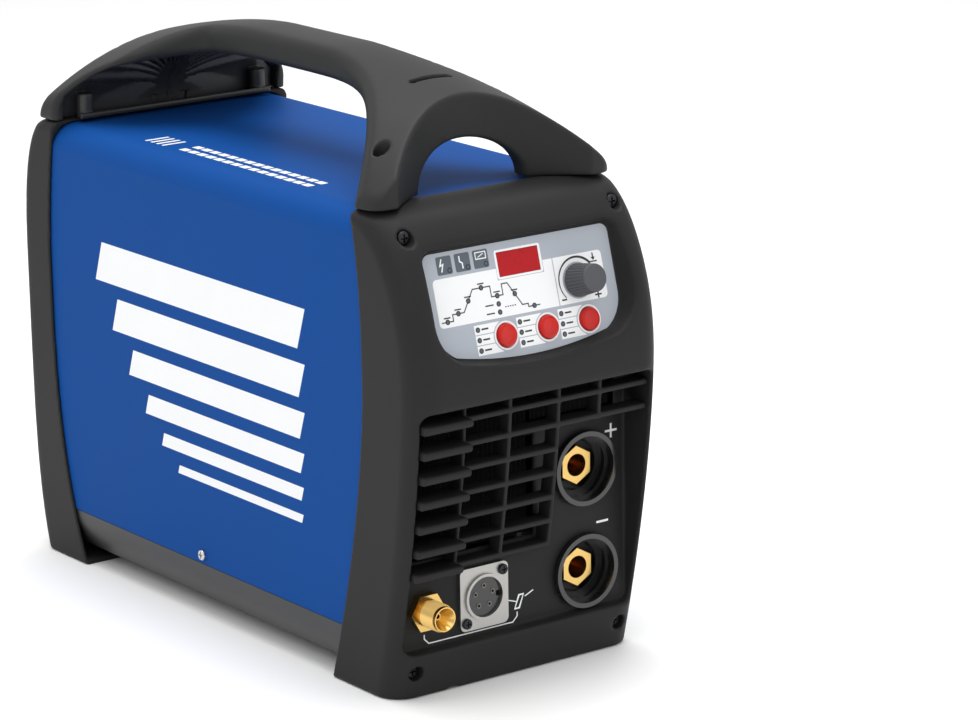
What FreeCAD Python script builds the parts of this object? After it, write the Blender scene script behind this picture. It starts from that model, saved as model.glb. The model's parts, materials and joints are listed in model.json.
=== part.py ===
import FreeCAD, Part
import math
import os
import re

import Sketcher
from FreeCAD import Placement, Rotation, Vector

# Portable inverter TIG welding machine.  Millimetres, +Z up, front faces -Y,
# X to the right as seen from the front, origin on the ground under the middle.

doc = FreeCAD.newDocument("TigWelder")

# ---------------------------------------------------------------- dimensions
SIZES = (
    # enclosure
    ("half_width", 85.0, "bezels, half the width across the machine"),
    ("front_nose", 212.5, "front bezel, how far its nose stands forward of the middle"),
    ("rear_back", 202.0, "rear bezel, how far its back stands behind the middle"),
    ("shell_top", 273.0, "top of both bezels"),
    ("bezel_wall", 1.8, "moulded wall beside the cover"),
    ("bezel_skin", 3.0, "moulded wall at the front and the back"),
    ("cover_half", 83.0, "sheet cover, half its width"),
    ("cover_top", 271.0, "sheet cover, its top"),
    ("cover_low", 33.0, "sheet cover, its lower edge"),
    ("cover_round", 15.0, "sheet cover, outside bend at the top edges"),
    ("cover_sheet", 1.2, "sheet cover, thickness"),
    ("cover_front", 165.5, "sheet cover, front end ahead of the middle"),
    ("cover_rear", 171.5, "sheet cover, rear end behind the middle"),
    ("tray_low", 8.6, "base tray, underside"),
    ("tray_wall", 3.0, "base tray, wall"),
    ("tray_front", 167.9, "base tray, front end"),
    ("tray_rear", 173.9, "base tray, rear end"),
    # bulge of the end mouldings, seen from the side
    ("waist", 178.0, "height at which both mouldings reach furthest"),
    ("front_lean", 34.0, "front face, set back by its lean at the top"),
    ("front_roll", 8.0, "front face, further set back by its rolled top edge"),
    ("front_chin", 29.0, "front face, set back at the ground"),
    ("rear_lean", 16.0, "rear face, set back by its lean at the top"),
    ("rear_roll", 6.0, "rear face, further set back by its rolled top edge"),
    ("rear_chin", 12.0, "rear face, set back at the ground"),
    ("front_mouth", 160.0, "front moulding's open edge, ahead of the middle at the waist"),
    ("front_mouth_top", 8.5, "front moulding's open edge, set back at the top"),
    ("front_mouth_low", 35.5, "front moulding's open edge, set back at the ground"),
    ("rear_mouth", 168.5, "rear moulding's open edge, behind the middle at the waist"),
    ("rear_mouth_top", 10.0, "rear moulding's open edge, set back at the top"),
    ("rear_mouth_low", 29.0, "rear moulding's open edge, set back at the ground"),
    # handle
    ("handle_top", 338.0, "top of the grip"),
    ("grip_half", 18.5, "grip, half its width"),
    ("grip_depth", 20.0, "grip, top to underside"),
    ("foot_half", 84.0, "handle feet, half the width across"),
    ("grip_front", -32.0, "grip, where it starts to fork forwards"),
    ("grip_rear", 85.0, "grip, where it starts to spread backwards"),
    ("brow_middle", 140.0, "handle's front face, ahead of the middle at its centre"),
    ("brow_sweep", 32.0, "handle's front face, how much further forward its feet are"),
    ("brow_half", 66.0, "handle's front face, half the width of its sweep"),
    ("gap_front", 120.0, "hand gap, front end ahead of the middle"),
    ("gap_rear", 158.0, "hand gap, rear end behind the middle"),
    ("hood_end", 178.0, "rear hood, end behind the middle"),
    ("arch_half", 36.0, "front arch, half its width"),
    ("arch_rise", 25.0, "front arch, height above the feet"),
    # control panel
    ("panel_tilt", 15.5, "control panel, lean back from upright in degrees"),
    ("panel_forward", 196.0, "control panel centre, ahead of the middle"),
    ("panel_height", 218.0, "control panel centre, above ground"),
    ("label_half", 63.0, "control label, half its width"),
    ("label_up", 33.0, "control label, centre to top edge"),
    ("label_down", 30.0, "control label, centre to lowest point"),
    ("label_sheet", 0.5, "control label, thickness"),
    ("label_chin", 22.0, "control label, radius of its lower corners"),
    ("label_side", 5.0, "control label, centre down to the end of its straight sides"),
    ("button_first", -16.4, "first push button, across"),
    ("button_pitch", 28.4, "push buttons, spacing"),
    ("button_row", -17.5, "push buttons, along the slope"),
    ("button_radius", 6.6, "push button, radius"),
    ("button_proud", 2.6, "push button, how far its crown stands out"),
    ("button_travel", 0.8, "push button, travel"),
    ("knob_across", 37.2, "knob axis, across"),
    ("knob_along", 4.5, "knob axis, along the slope"),
    ("knob_radius", 9.4, "knob, radius at its skirt"),
    ("knob_tip_radius", 7.8, "knob, radius at its face"),
    ("knob_height", 16.5, "knob, height above the label"),
    ("shaft_radius", 3.0, "encoder shaft"),
    # front recess and sockets
    ("recess_floor", 182.0, "connector wall, ahead of the middle"),
    ("recess_wall", 3.0, "connector wall, thickness"),
    ("recess_half", 79.0, "front recess, half its width"),
    ("recess_low", 27.0, "front recess, lower edge"),
    ("recess_high", 168.0, "front recess, upper edge"),
    ("socket_across", 49.6, "output sockets, across"),
    ("socket_low", 50.0, "negative output socket, height"),
    ("socket_high", 110.0, "positive output socket, height"),
    ("socket_radius", 21.5, "output socket shroud, outside radius"),
    ("socket_bowl", 18.8, "output socket shroud, inside radius"),
    ("socket_proud", 4.0, "output socket shroud, in front of the wall"),
    ("contact_radius", 11.2, "output socket brass, radius over its corners"),
    ("contact_bore", 6.5, "output socket brass, bore radius"),
    ("contact_length", 30.0, "output socket brass, bore length"),
    ("gas_across", -62.0, "gas outlet axis, across"),
    ("gas_height", 49.0, "gas outlet axis, height"),
    ("gas_thread", 7.9, "gas outlet, thread radius"),
    ("gas_bore", 2.0, "gas outlet, bore radius"),
    ("gas_proud", 20.0, "gas outlet, in front of the wall"),
    ("torch_across", -22.0, "torch control socket, across"),
    ("torch_height", 49.5, "torch control socket, height"),
    ("torch_flange_wide", 33.0, "torch control socket flange, width"),
    ("torch_flange_tall", 36.0, "torch control socket flange, height"),
    ("torch_insert", 11.6, "torch control socket insert, radius"),
    # grille
    ("slat_count", 7, "front grille, number of slats"),
    ("slat_top", 159.4, "front grille, height of the top slat"),
    ("slat_pitch", 14.25, "front grille, slat spacing"),
    ("slat_thin", 3.4, "front grille, slat thickness behind the face"),
    ("slat_thick", 4.6, "front grille, slat thickness flush with the face"),
    ("slat_setback", 8.0, "front grille, setback of the long part of the slats"),
    ("slat_depth", 12.0, "front grille, slat depth"),
    ("slat_step", -47.0, "front grille, where the flush part ends"),
    ("slat_short_end", 17.5, "front grille, right end of the lower slats"),
    # fan
    ("fan_size", 92.0, "fan frame, square side"),
    ("fan_depth", 25.0, "fan frame, depth"),
    ("fan_bore", 42.0, "fan frame, duct radius"),
    ("fan_tip", 40.0, "fan rotor, radius over the blades"),
    ("fan_hub", 17.0, "fan rotor, hub radius"),
    ("fan_height", 118.0, "fan axis, height"),
    ("fan_across", 22.0, "fan axis, across"),
    # electronics
    ("board_thick", 1.6, "circuit boards, thickness"),
    ("screw_pitch_x", 70.7, "bezel screws, across from the middle"),
    ("screw_high", 260.0, "bezel screws, upper pair height"),
    ("screw_low", 15.5, "bezel screws, lower pair height"),
)

sheet = doc.addObject("Spreadsheet::Sheet", "Sizes")
for row, (alias, value, meaning) in enumerate(SIZES, start=1):
    sheet.set(f"A{row}", meaning)
    sheet.set(f"B{row}", str(value))
    sheet.setAlias(f"B{row}", alias)
doc.recompute()


def dim(alias):
    """A cell of the sheet as a number."""
    return float(sheet.get(alias))


def bind(thing, prop, formula):
    """Bind a property to a formula whose words are aliases of the sheet."""
    words = re.sub(r"\b[a-z]\w+\b(?!\()", lambda word: "Sizes." + word.group(0), str(formula))
    thing.setExpression(prop, words)


def place(thing, x=0, y=0, z=0, axis=Vector(0, 0, 1), angle=0.0):
    """Turn an object, and bind its position to the sheet."""
    thing.Placement = Placement(Vector(0, 0, 0), Rotation(axis, angle))
    for letter, formula in zip("xyz", (x, y, z)):
        bind(thing, f"Placement.Base.{letter}", formula)
    return thing


FACE_FRONT = (Vector(1, 0, 0), 90.0)     # local +Z points to -Y, the front
FACE_REAR = (Vector(1, 0, 0), -90.0)     # local +Z points to +Y, the back
parts = []


def keep(thing, label):
    """Name a sub-part and put it on the list of pieces to write."""
    thing.Label = label
    parts.append(thing)
    return thing


def box(label, length, width, height, x, y, z):
    """A block with its corner at x, y, z."""
    block = doc.addObject("Part::Box", label)
    for prop, formula in (("Length", length), ("Width", width), ("Height", height)):
        bind(block, prop, formula)
    return place(block, x, y, z)


def rod(label, radius, height, x, y, z, axis=Vector(0, 0, 1), angle=0.0):
    """A cylinder from x, y, z along its turned local Z."""
    bar = doc.addObject("Part::Cylinder", label)
    bind(bar, "Radius", radius)
    bind(bar, "Height", height)
    return place(bar, x, y, z, axis, angle)


def cut(label, base, tool):
    """Base minus tool."""
    piece = doc.addObject("Part::Cut", label)
    piece.Base = base
    piece.Tool = tool
    return piece


def fuse(label, *members):
    """One solid from several."""
    piece = doc.addObject("Part::MultiFuse", label)
    piece.Shapes = list(members)
    piece.Refine = True
    return piece


def group(label, *members):
    """Separate solids kept together as one node."""
    piece = doc.addObject("Part::Compound", label)
    piece.Links = list(members)
    return piece


def free(label, shape):
    """A shape worked out from the sheet by this script."""
    piece = doc.addObject("Part::Feature", label)
    piece.Shape = shape
    return piece


def plane_of(body, role):
    """An origin plane or axis of a body."""
    return [item for item in body.Origin.OriginFeatures if item.Role == role][0]


def sketch_in(body, role, name):
    """A sketch on one of a body's own origin planes."""
    sketch = body.newObject("Sketcher::SketchObject", name)
    sketch.AttachmentSupport = [(plane_of(body, role), "")]
    sketch.MapMode = "FlatFace"
    return sketch


def polygon(sketch, corners):
    """A closed outline whose corners are bound to the sheet, axis by axis."""
    first = sketch.GeometryCount
    total = len(corners)
    start = [Vector(10 * math.cos(k), 10 * math.sin(k), 0) for k in range(total)]
    for k in range(total):
        sketch.addGeometry(Part.LineSegment(start[k], start[(k + 1) % total]), False)
    for k in range(total):
        after = first + (k + 1) % total
        sketch.addConstraint(Sketcher.Constraint("Coincident", first + k, 2, after, 1))
    for k, (across, along) in enumerate(corners):
        for kind, formula in (("DistanceX", across), ("DistanceY", along)):
            rule = Sketcher.Constraint(kind, -1, 1, first + k, 1, 1.0)
            index = sketch.addConstraint(rule)
            bind(sketch, f"Constraints[{index}]", formula)


def ring(sketch, radius, across="0", along="0"):
    """A circle bound to the sheet."""
    circle = sketch.addGeometry(Part.Circle(Vector(1, 1, 0), Vector(0, 0, 1), 5), False)
    for kind, formula in (("DistanceX", across), ("DistanceY", along)):
        rule = Sketcher.Constraint(kind, -1, 1, circle, 3, 1.0)
        index = sketch.addConstraint(rule)
        bind(sketch, f"Constraints[{index}]", formula)
    index = sketch.addConstraint(Sketcher.Constraint("Radius", circle, 5.0))
    bind(sketch, f"Constraints[{index}]", radius)


def prism(label, role, corners, length, holes=()):
    """A padded outline with round holes, as a PartDesign body."""
    body = doc.addObject("PartDesign::Body", label)
    sketch = sketch_in(body, role, label + "_outline")
    polygon(sketch, corners)
    for radius, across, along in holes:
        ring(sketch, radius, across, along)
    pad = body.newObject("PartDesign::Pad", label + "_pad")
    pad.Profile = sketch
    bind(pad, "Length", length)
    return body


def tube(label, outside, inside, length):
    """A padded ring along local Z."""
    body = doc.addObject("PartDesign::Body", label)
    sketch = sketch_in(body, "XY_Plane", label + "_ring")
    ring(sketch, outside)
    ring(sketch, inside)
    pad = body.newObject("PartDesign::Pad", label + "_pad")
    pad.Profile = sketch
    bind(pad, "Length", length)
    return body


def turned(label, corners):
    """A profile of radius and height pairs, turned about local Z."""
    body = doc.addObject("PartDesign::Body", label)
    sketch = sketch_in(body, "XZ_Plane", label + "_profile")
    polygon(sketch, corners)
    lathe = body.newObject("PartDesign::Revolution", label + "_turn")
    lathe.Profile = sketch
    lathe.ReferenceAxis = (sketch, ["V_Axis"])
    lathe.Angle = 360
    return body


def on_panel(thing, across, along, out):
    """Stand an object on the leaning control panel, local Z outwards."""
    lean = "panel_tilt * 1deg"
    y = f"-panel_forward + ({along}) * sin({lean}) - ({out}) * cos({lean})"
    z = f"panel_height + ({along}) * cos({lean}) + ({out}) * sin({lean})"
    place(thing, across, y, z, Vector(1, 0, 0), 0)
    thing.setExpression("Placement.Rotation.Angle", "90deg - Sizes.panel_tilt * 1deg")
    return thing


def spline(points, start=None, end=None):
    """A smooth edge through a few points, with end directions when given."""
    curve = Part.BSplineCurve()
    if start is None:
        curve.interpolate(Points=points)
    else:
        curve.interpolate(Points=points, InitialTangent=start, FinalTangent=end)
    return curve.toShape()


def extruded(edges, direction):
    """A solid from a closed run of edges."""
    return Part.Face(Part.Wire(Part.__sortEdges__(edges))).extrude(direction)


def block(x0, x1, y0, y1, z0, z1):
    """A plain block between limits, for cutting and joining."""
    return Part.makeBox(x1 - x0, y1 - y0, z1 - z0, Vector(x0, y0, z0))


def along_y(edge, half):
    """True for an edge on the side plane of a shell."""
    return all(abs(abs(v.X) - half) < 0.01 for v in edge.Vertexes) and edge.Length > 5


# ------------------------------------------------------------ bezel mouldings
HIGH = dim("shell_top")
SIDE = dim("half_width")
NOSE = -dim("front_nose")
BACK = dim("rear_back")
WALL = dim("bezel_wall")
SKIN = dim("bezel_skin")

WAIST = dim("waist")
STATIONS = [HIGH * k / 12 for k in range(12, -1, -1)]


def bulge(height, lean, lean_power, roll, chin, chin_power):
    """How far a curved end lies behind its furthest line, at a height."""
    if height > WAIST:
        up = (height - WAIST) / (HIGH - WAIST)
        return lean * up ** lean_power + roll * up ** 12
    return chin * ((WAIST - height) / WAIST) ** chin_power


def front_face(height):
    """The front face seen from the side."""
    return NOSE + bulge(height, dim("front_lean"), 2.2, dim("front_roll"), dim("front_chin"), 1.6)


def rear_face(height):
    """The rear face seen from the side."""
    return BACK - bulge(height, dim("rear_lean"), 3.0, dim("rear_roll"), dim("rear_chin"), 4.5)


def front_mouth(height):
    """Where the front moulding ends against the cover."""
    return -dim("front_mouth") + bulge(height, dim("front_mouth_top"), 2.7, 0,
                                       dim("front_mouth_low"), 1.65)


def rear_mouth(height):
    """Where the rear moulding ends against the cover."""
    return dim("rear_mouth") - bulge(height, dim("rear_mouth_top"), 2.0, 0,
                                     dim("rear_mouth_low"), 2.75)


def side_view(line):
    """Points along a line that is given by height."""
    return [(line(z), z) for z in STATIONS]


def shell_solid(face_curve, mouth_curve, half, corner):
    """A solid seen from the side between two curves, with its upright corners rounded."""
    face = [Vector(-half, y, z) for y, z in face_curve]
    mouth = [Vector(-half, y, z) for y, z in mouth_curve]
    edges = (spline(face), spline(mouth), Part.makeLine(face[0], mouth[0]),
             Part.makeLine(face[-1], mouth[-1]))
    solid = extruded(edges, Vector(2 * half, 0, 0))
    long_edges = [edge for edge in solid.Edges if along_y(edge, half) and edge.Length > HIGH * 0.9]
    middle = sum(y for y, z in mouth_curve) / len(mouth_curve)
    upright = [edge for edge in long_edges if abs(edge.CenterOfMass.y) > abs(middle) + 15]
    return solid.makeFillet(corner, upright)


FRONT_OUTER = shell_solid(side_view(front_face), side_view(front_mouth), SIDE, 16.0)
REAR_OUTER = shell_solid(side_view(rear_face), side_view(rear_mouth), SIDE, 10.0)


def moved(shape, x=0.0, y=0.0, z=0.0):
    """A shifted copy of a shape."""
    copy = shape.copy()
    copy.translate(Vector(x, y, z))
    return copy


def hollow(outer, shift):
    """The room inside a shell: its own shape moved inwards, inside the cover's section."""
    half = SIDE - WALL
    crown = block(-half, half, -300, 300, SKIN, HIGH - WALL)
    edges = [e for e in crown.Edges if e.BoundBox.YLength > 500 and e.BoundBox.ZMin > 200]
    return crown.makeFillet(dim("cover_round"), edges).common(moved(outer, y=shift))


def rounded_block(x0, x1, y0, y1, z0, z1, radius):
    """A block whose four edges along Y are rounded."""
    solid = block(x0, x1, y0, y1, z0, z1)
    edges = [e for e in solid.Edges if abs(e.BoundBox.YLength - (y1 - y0)) < 0.01]
    return solid.makeFillet(radius, edges)


PANEL = Placement(Vector(0, -dim("panel_forward"), dim("panel_height")),
                  Rotation(Vector(1, 0, 0), 90 - dim("panel_tilt")))


def label_outline(grow, out):
    """The control label's outline on the panel, grown outwards, as a wire."""
    half, up, low = dim("label_half"), dim("label_up"), -dim("label_down")
    corner = 5.0
    chin, side_end = dim("label_chin"), -dim("label_side")
    shoulder, turn, sweep = [
        Vector(half - chin * (1 - math.cos(angle)), side_end - chin * math.sin(angle), 0)
        for angle in (0, math.radians(31), math.radians(62))]
    nick = corner * (1 - math.sqrt(0.5))

    def mirrored(point):
        return Vector(-point.x, point.y, point.z)

    top_right = (Vector(half - corner, up, 0), Vector(half - nick, up - nick, 0),
                 Vector(half, up - corner, 0))
    top_left = tuple(mirrored(point) for point in top_right)
    edges = (Part.makeLine(top_left[0], top_right[0]), Part.Arc(*top_right).toShape(),
             Part.makeLine(top_right[2], shoulder), Part.Arc(shoulder, turn, sweep).toShape(),
             Part.Arc(sweep, Vector(0, low, 0), mirrored(sweep)).toShape(),
             Part.Arc(mirrored(sweep), mirrored(turn), mirrored(shoulder)).toShape(),
             Part.makeLine(mirrored(shoulder), top_left[2]), Part.Arc(*top_left).toShape())
    wire = Part.Wire(Part.__sortEdges__(list(edges)))
    if grow:
        wire = wire.makeOffset2D(grow)
    wire.translate(Vector(0, 0, out))
    return wire


def panel_block(grow_floor, grow_mouth, floor, mouth):
    """A block on the panel that widens outwards from floor to mouth."""
    wires = [label_outline(grow_floor, floor), label_outline(grow_mouth, mouth)]
    solid = Part.makeLoft(wires, True, True)
    solid.Placement = PANEL
    return solid


def panel_hole(radius, across, along, low=-9.0, high=3.0):
    """A round cutter square to the panel."""
    cutter = Part.makeCylinder(radius, high - low, Vector(across, along, low))
    cutter.Placement = PANEL.multiply(cutter.Placement)
    return cutter


def panel_box(x0, x1, v0, v1, w0, w1):
    """A block in the panel's own directions."""
    solid = Part.makeBox(x1 - x0, v1 - v0, w1 - w0, Vector(x0, v0, w0))
    solid.Placement = PANEL.multiply(solid.Placement)
    return solid


FLOOR = -dim("recess_floor")
FLOOR_BACK = FLOOR + dim("recess_wall")
REACH = dim("recess_half")
LOW, CEILING = dim("recess_low"), dim("recess_high")
SOCKETS = ((dim("socket_across"), dim("socket_high")), (dim("socket_across"), dim("socket_low")))
BUTTONS = tuple(dim("button_first") + k * dim("button_pitch") for k in range(3))
ROW = dim("button_row")
SCREWS = [(side * dim("screw_pitch_x"), z) for side in (-1, 1)
          for z in (dim("screw_high"), dim("screw_low"))]
DISPLAY = (-14.2, 14.0, 14.0, 27.6)
HANDLE_SCREWS = ((-58.0, -146.0), (58.0, -146.0), (-62.0, 166.0), (62.0, 166.0))


def across_y(radius, x, z, y0, y1):
    """A round bar along Y, for cutting and joining."""
    return Part.makeCylinder(radius, y1 - y0, Vector(x, y0, z), Vector(0, 1, 0))


def build_front_bezel():
    """Front moulding: shell, leaning panel recess, connector wall and screw bosses."""
    room = hollow(FRONT_OUTER, SKIN)
    tub = rounded_block(-REACH - 2.4, REACH + 2.4, NOSE, FLOOR_BACK, LOW - 2.4, CEILING + 2.4, 8)
    panel_back = panel_block(3.5, 11, -0.5 - 2.5, 22)
    bosses = [across_y(6.5, x, z, NOSE + 20, -dim("tray_front") - 0.1) for x, z in SCREWS]
    room = room.cut(tub.fuse([panel_back] + bosses))
    body = FRONT_OUTER.cut(room)
    body = body.cut(rounded_block(-REACH, REACH, NOSE - 5, FLOOR, LOW, CEILING, 6))
    body = body.cut(panel_block(0.8, 9, -dim("label_sheet"), 20))
    holes = [across_y(4.4, x, z, NOSE - 5, -181.0 if z > 100 else -180.0) for x, z in SCREWS]
    holes += [across_y(2.2, x, z, NOSE, -165) for x, z in SCREWS]
    holes += [across_y(dim("socket_radius") - 1.2, x, z, FLOOR - 2, FLOOR + 6) for x, z in SOCKETS]
    holes.append(across_y(5.2, dim("gas_across"), dim("gas_height"), FLOOR - 2, FLOOR + 6))
    holes.append(across_y(dim("torch_insert") + 1.2, dim("torch_across"), dim("torch_height"),
                          FLOOR - 2, FLOOR + 6))
    holes += [panel_hole(dim("button_radius") + 0.3, x, ROW) for x in BUTTONS]
    holes.append(panel_hole(4.9, dim("knob_across"), dim("knob_along")))
    x0, x1, v0, v1 = DISPLAY
    holes.append(panel_box(x0, x1, v0, v1, -9, 3))
    wide, tall = dim("torch_flange_wide") / 2 - 4, dim("torch_flange_tall") / 2 - 4.5
    holes += [across_y(1.8, dim("torch_across") + side * wide, dim("torch_height") + side * tall,
                       FLOOR - 2, FLOOR + 6) for side in (-1, 1)]
    # air intake behind the slats
    holes.append(block(-74, dim("slat_short_end") - 3, FLOOR - 2, FLOOR + 6, 78, 162))
    holes.append(block(dim("slat_short_end") - 4, 72, FLOOR - 2, FLOOR + 6, 142, 162))
    for hole in holes:
        body = body.cut(hole)
    return body


GRILLE_ROWS = [dim("slat_top") - k * dim("slat_pitch") for k in range(int(dim("slat_count")))]
FULL_ROWS = 2


def build_front_grille():
    """Louvre: slats that follow the nose, flush at the left and set back further right."""
    setback, depth = dim("slat_setback"), dim("slat_depth")
    thin, thick = dim("slat_thin") / 2, dim("slat_thick") / 2
    step, short = dim("slat_step"), dim("slat_short_end")
    edge = REACH - 0.2
    deep = FLOOR - 0.2
    long_layer = moved(FRONT_OUTER, y=setback).cut(moved(FRONT_OUTER, y=setback + depth))
    flush_layer = FRONT_OUTER.cut(moved(FRONT_OUTER, y=setback + depth))
    back_layer = moved(FRONT_OUTER, y=setback)
    bars, ribs, flush = [], [], []
    for row, z in enumerate(GRILLE_ROWS):
        end = edge if row < FULL_ROWS else short
        bars.append(block(step - 2, end, NOSE, FLOOR, z - thin, z + thin))
        flush.append(block(-edge, step, NOSE, FLOOR, z - thick, z + thick))
    lowest = GRILLE_ROWS[-1] - thin
    second = GRILLE_ROWS[FULL_ROWS - 1] - thin
    for x, low in ((-16.0, lowest), (short, lowest), (46.0, second), (step, lowest)):
        ribs.append(block(x - 1.2, x + 1.2, NOSE, deep, low, CEILING - 0.2))
    long_bars = bars[0].multiFuse(bars[1:]).common(long_layer)
    flush_bars = flush[0].multiFuse(flush[1:]).common(flush_layer)
    ribs = ribs[0].multiFuse(ribs[1:]).common(back_layer)
    return long_bars.multiFuse([flush_bars, ribs]).removeSplitter()


front_bezel = keep(free("front_bezel", build_front_bezel()), "front_bezel")
front_grille = keep(free("front_grille", build_front_grille()), "front_grille")


# ------------------------------------------------------------ rear moulding
REAR_FLOOR = BACK - 12.0
REAR_INSIDE = REAR_FLOOR - dim("recess_wall")
REAR_REACH = 72.0
REAR_LOW, REAR_CEILING = 32.0, 236.0
FAN_X, FAN_Z = dim("fan_across"), dim("fan_height")
GRILLE_LEFT, GRILLE_RIGHT = FAN_X - 46.0, FAN_X + 46.0
GRILLE_BASE, GRILLE_TOP = FAN_Z - 46.0, FAN_Z + 46.0
SWITCH_X, SWITCH_Z = -50.0, 196.0
GLAND_X, GLAND_Z = -50.0, 118.0
GAS_X, GAS_Z = dim("gas_across"), dim("gas_height")


def build_rear_bezel():
    """Rear moulding: shell with a recessed wall for the fan, switch, lead and gas inlet."""
    room = hollow(REAR_OUTER, -SKIN)
    tub = rounded_block(-REAR_REACH - 2.4, REAR_REACH + 2.4, REAR_INSIDE, BACK + 5,
                        REAR_LOW - 2.4, REAR_CEILING + 2.4, 8)
    bosses = [across_y(6.5, x, z, dim("tray_rear") + 0.1, BACK) for x, z in SCREWS]
    body = REAR_OUTER.cut(room.cut(tub.fuse(bosses)))
    body = body.cut(rounded_block(-REAR_REACH, REAR_REACH, REAR_FLOOR, BACK + 5,
                                  REAR_LOW, REAR_CEILING, 6))
    inside, outside = REAR_INSIDE - 3, BACK + 5
    holes = [across_y(4.4, x, z, BACK - 19, outside) for x, z in SCREWS]
    holes += [across_y(2.2, x, z, 170, outside) for x, z in SCREWS]
    holes += [Part.makeCylinder(2.2, 20, Vector(x, y, 258)) for x, y in HANDLE_SCREWS[2:]]
    holes.append(across_y(41.0, FAN_X, FAN_Z, inside, outside - 10))
    holes.append(across_y(6.2, SWITCH_X, SWITCH_Z, inside, outside - 10))
    holes.append(across_y(11.2, GLAND_X, GLAND_Z, inside, outside - 10))
    holes.append(across_y(5.2, GAS_X, GAS_Z, inside, outside - 10))
    holes += [across_y(1.8, FAN_X + dx, FAN_Z + dz, inside, outside - 10)
              for dx in (-38, 38) for dz in (-38, 38)]
    for hole in holes:
        body = body.cut(hole)
    return body


def build_rear_grille():
    """Guard over the fan: level slats between two posts, clear of the wall's screws."""
    layer = (REAR_FLOOR + 0.2, BACK - 4.0)
    bars = [block(GRILLE_LEFT, GRILLE_RIGHT, layer[0] + 2, layer[1], z - 1.6, z + 1.6)
            for z in (GRILLE_BASE + 3 + k * 12.0 for k in range(8))]
    posts = [block(x - 1.4, x + 1.4, layer[0], layer[1] - 0.6, GRILLE_BASE + 1.4, GRILLE_TOP - 3.4)
             for x in (GRILLE_LEFT + 1.4, FAN_X - 16, FAN_X + 16, GRILLE_RIGHT - 1.4)]
    return bars[0].multiFuse(bars[1:] + posts).removeSplitter()


# ------------------------------------------------------------------ handle
GRIP = dim("grip_half")
FOOT = dim("foot_half")
TOP = dim("handle_top")
UNDER = TOP - dim("grip_depth")
SEAT = HIGH + 0.3


def quarter(centre, reach, rise, power):
    """A quarter of a rounded box from the seat up to its top, seen from the side."""
    angles = [math.radians(90 * k / 8) for k in range(9)]
    return [Vector(-100, centre + reach * max(math.cos(a), 0) ** (2 / power),
                   SEAT + rise * math.sin(a) ** (2 / power)) for a in angles]


def seen_from_side():
    """The handle's outline from the side: open above, hand gap below."""
    front_end, rear_end = -dim("gap_front"), dim("gap_rear")
    middle = (front_end + rear_end) / 2
    clear = UNDER + 1.2 - SEAT
    front_gap = quarter(middle, front_end - middle, clear, 3.8)
    rear_gap = quarter(middle, rear_end - middle, clear, 2.6)
    hood = quarter(dim("hood_end") - 60, 60, 72, 1.6)
    high, low = Vector(-100, -176, hood[-1].z), Vector(-100, -176, SEAT)
    edges = [spline(front_gap), spline(rear_gap), spline(hood), Part.makeLine(hood[-1], high),
             Part.makeLine(high, low), Part.makeLine(low, front_gap[0]),
             Part.makeLine(rear_gap[0], hood[0])]
    return extruded(edges, Vector(200, 0, 0))


def fork_half(y):
    """Half the handle's width from above, at a place along it."""
    spread = FOOT - GRIP
    if y < dim("grip_front"):
        along = (dim("grip_front") - y) / (155 + dim("grip_front"))
        return GRIP + spread * min(along, 1) ** 2.2
    along = min(max((y - dim("grip_rear")) / (150 - dim("grip_rear")), 0), 1)
    return GRIP + spread * (1 - math.cos(math.pi * along)) / 2


def brow(x):
    """The handle's front face from above, which sweeps forward to its feet."""
    return -dim("brow_middle") - dim("brow_sweep") * (x / dim("brow_half")) ** 2


def seen_from_above():
    """The handle's outline from above: a narrow grip that forks to four feet."""
    front = [-155 + k * (155 + dim("grip_front")) / 7 for k in range(8)]
    rear = [dim("grip_rear") + k * (150 - dim("grip_rear")) / 7 for k in range(8)]
    half = dim("brow_half")
    edges = [spline([Vector(half * k / 4, brow(half * k / 4), 0) for k in range(-4, 5)]),
             Part.makeLine(Vector(-FOOT, 190, 0), Vector(FOOT, 190, 0))]
    for side in (1, -1):
        fork, spread = [[Vector(side * fork_half(y), y, 0) for y in run] for run in (front, rear)]
        toe, heel = Vector(side * half, brow(half), 0), Vector(side * FOOT, -160, 0)
        edges += [spline(fork), spline(spread), Part.makeLine(fork[-1], spread[0]),
                  Part.makeLine(fork[0], heel),
                  Part.makeLine(spread[-1], Vector(side * FOOT, 190, 0)),
                  Part.Arc(toe, Vector(side * 78, -169.5, 0), heel).toShape()]
    solid = extruded(edges, Vector(0, 0, 100))
    return moved(solid, z=SEAT - 5)


def crest(y):
    """Height of the handle along its middle."""
    ahead, behind = max(-35 - y, 0) / 145, max(y - 40, 0) / 144
    return TOP - 24 * ahead ** 1.5 - 25 * behind ** 1.7


def under_the_crown():
    """Everything under the handle's top: the crest's height less a fall towards each side."""
    rows = []
    for y in range(-180, 189, 23):
        share = 1.0 - 0.2 * min(max(y / 100.0, 0.0), 1.0)
        rows.append([Vector(x, y, crest(y) - share * 46 * (x / 88) ** 2)
                     for x in range(-88, 89, 22)])
    top = Part.BSplineSurface()
    top.interpolate(rows)
    return top.toShape().extrude(Vector(0, 0, -120))


def front_arch(near_scale, near_y, far_scale, far_y):
    """An elliptical cutter for the front arch, which may widen from one place to another."""
    wires = []
    for scale, y in ((near_scale, near_y), (far_scale, far_y)):
        middle = Vector(0, y, SEAT)
        ellipse = Part.Ellipse(middle + Vector(scale * dim("arch_half"), 0, 0),
                               middle + Vector(0, 0, dim("arch_rise")), middle)
        wires.append(Part.Wire([ellipse.toShape()]))
    return Part.makeLoft(wires, True, True)


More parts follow.
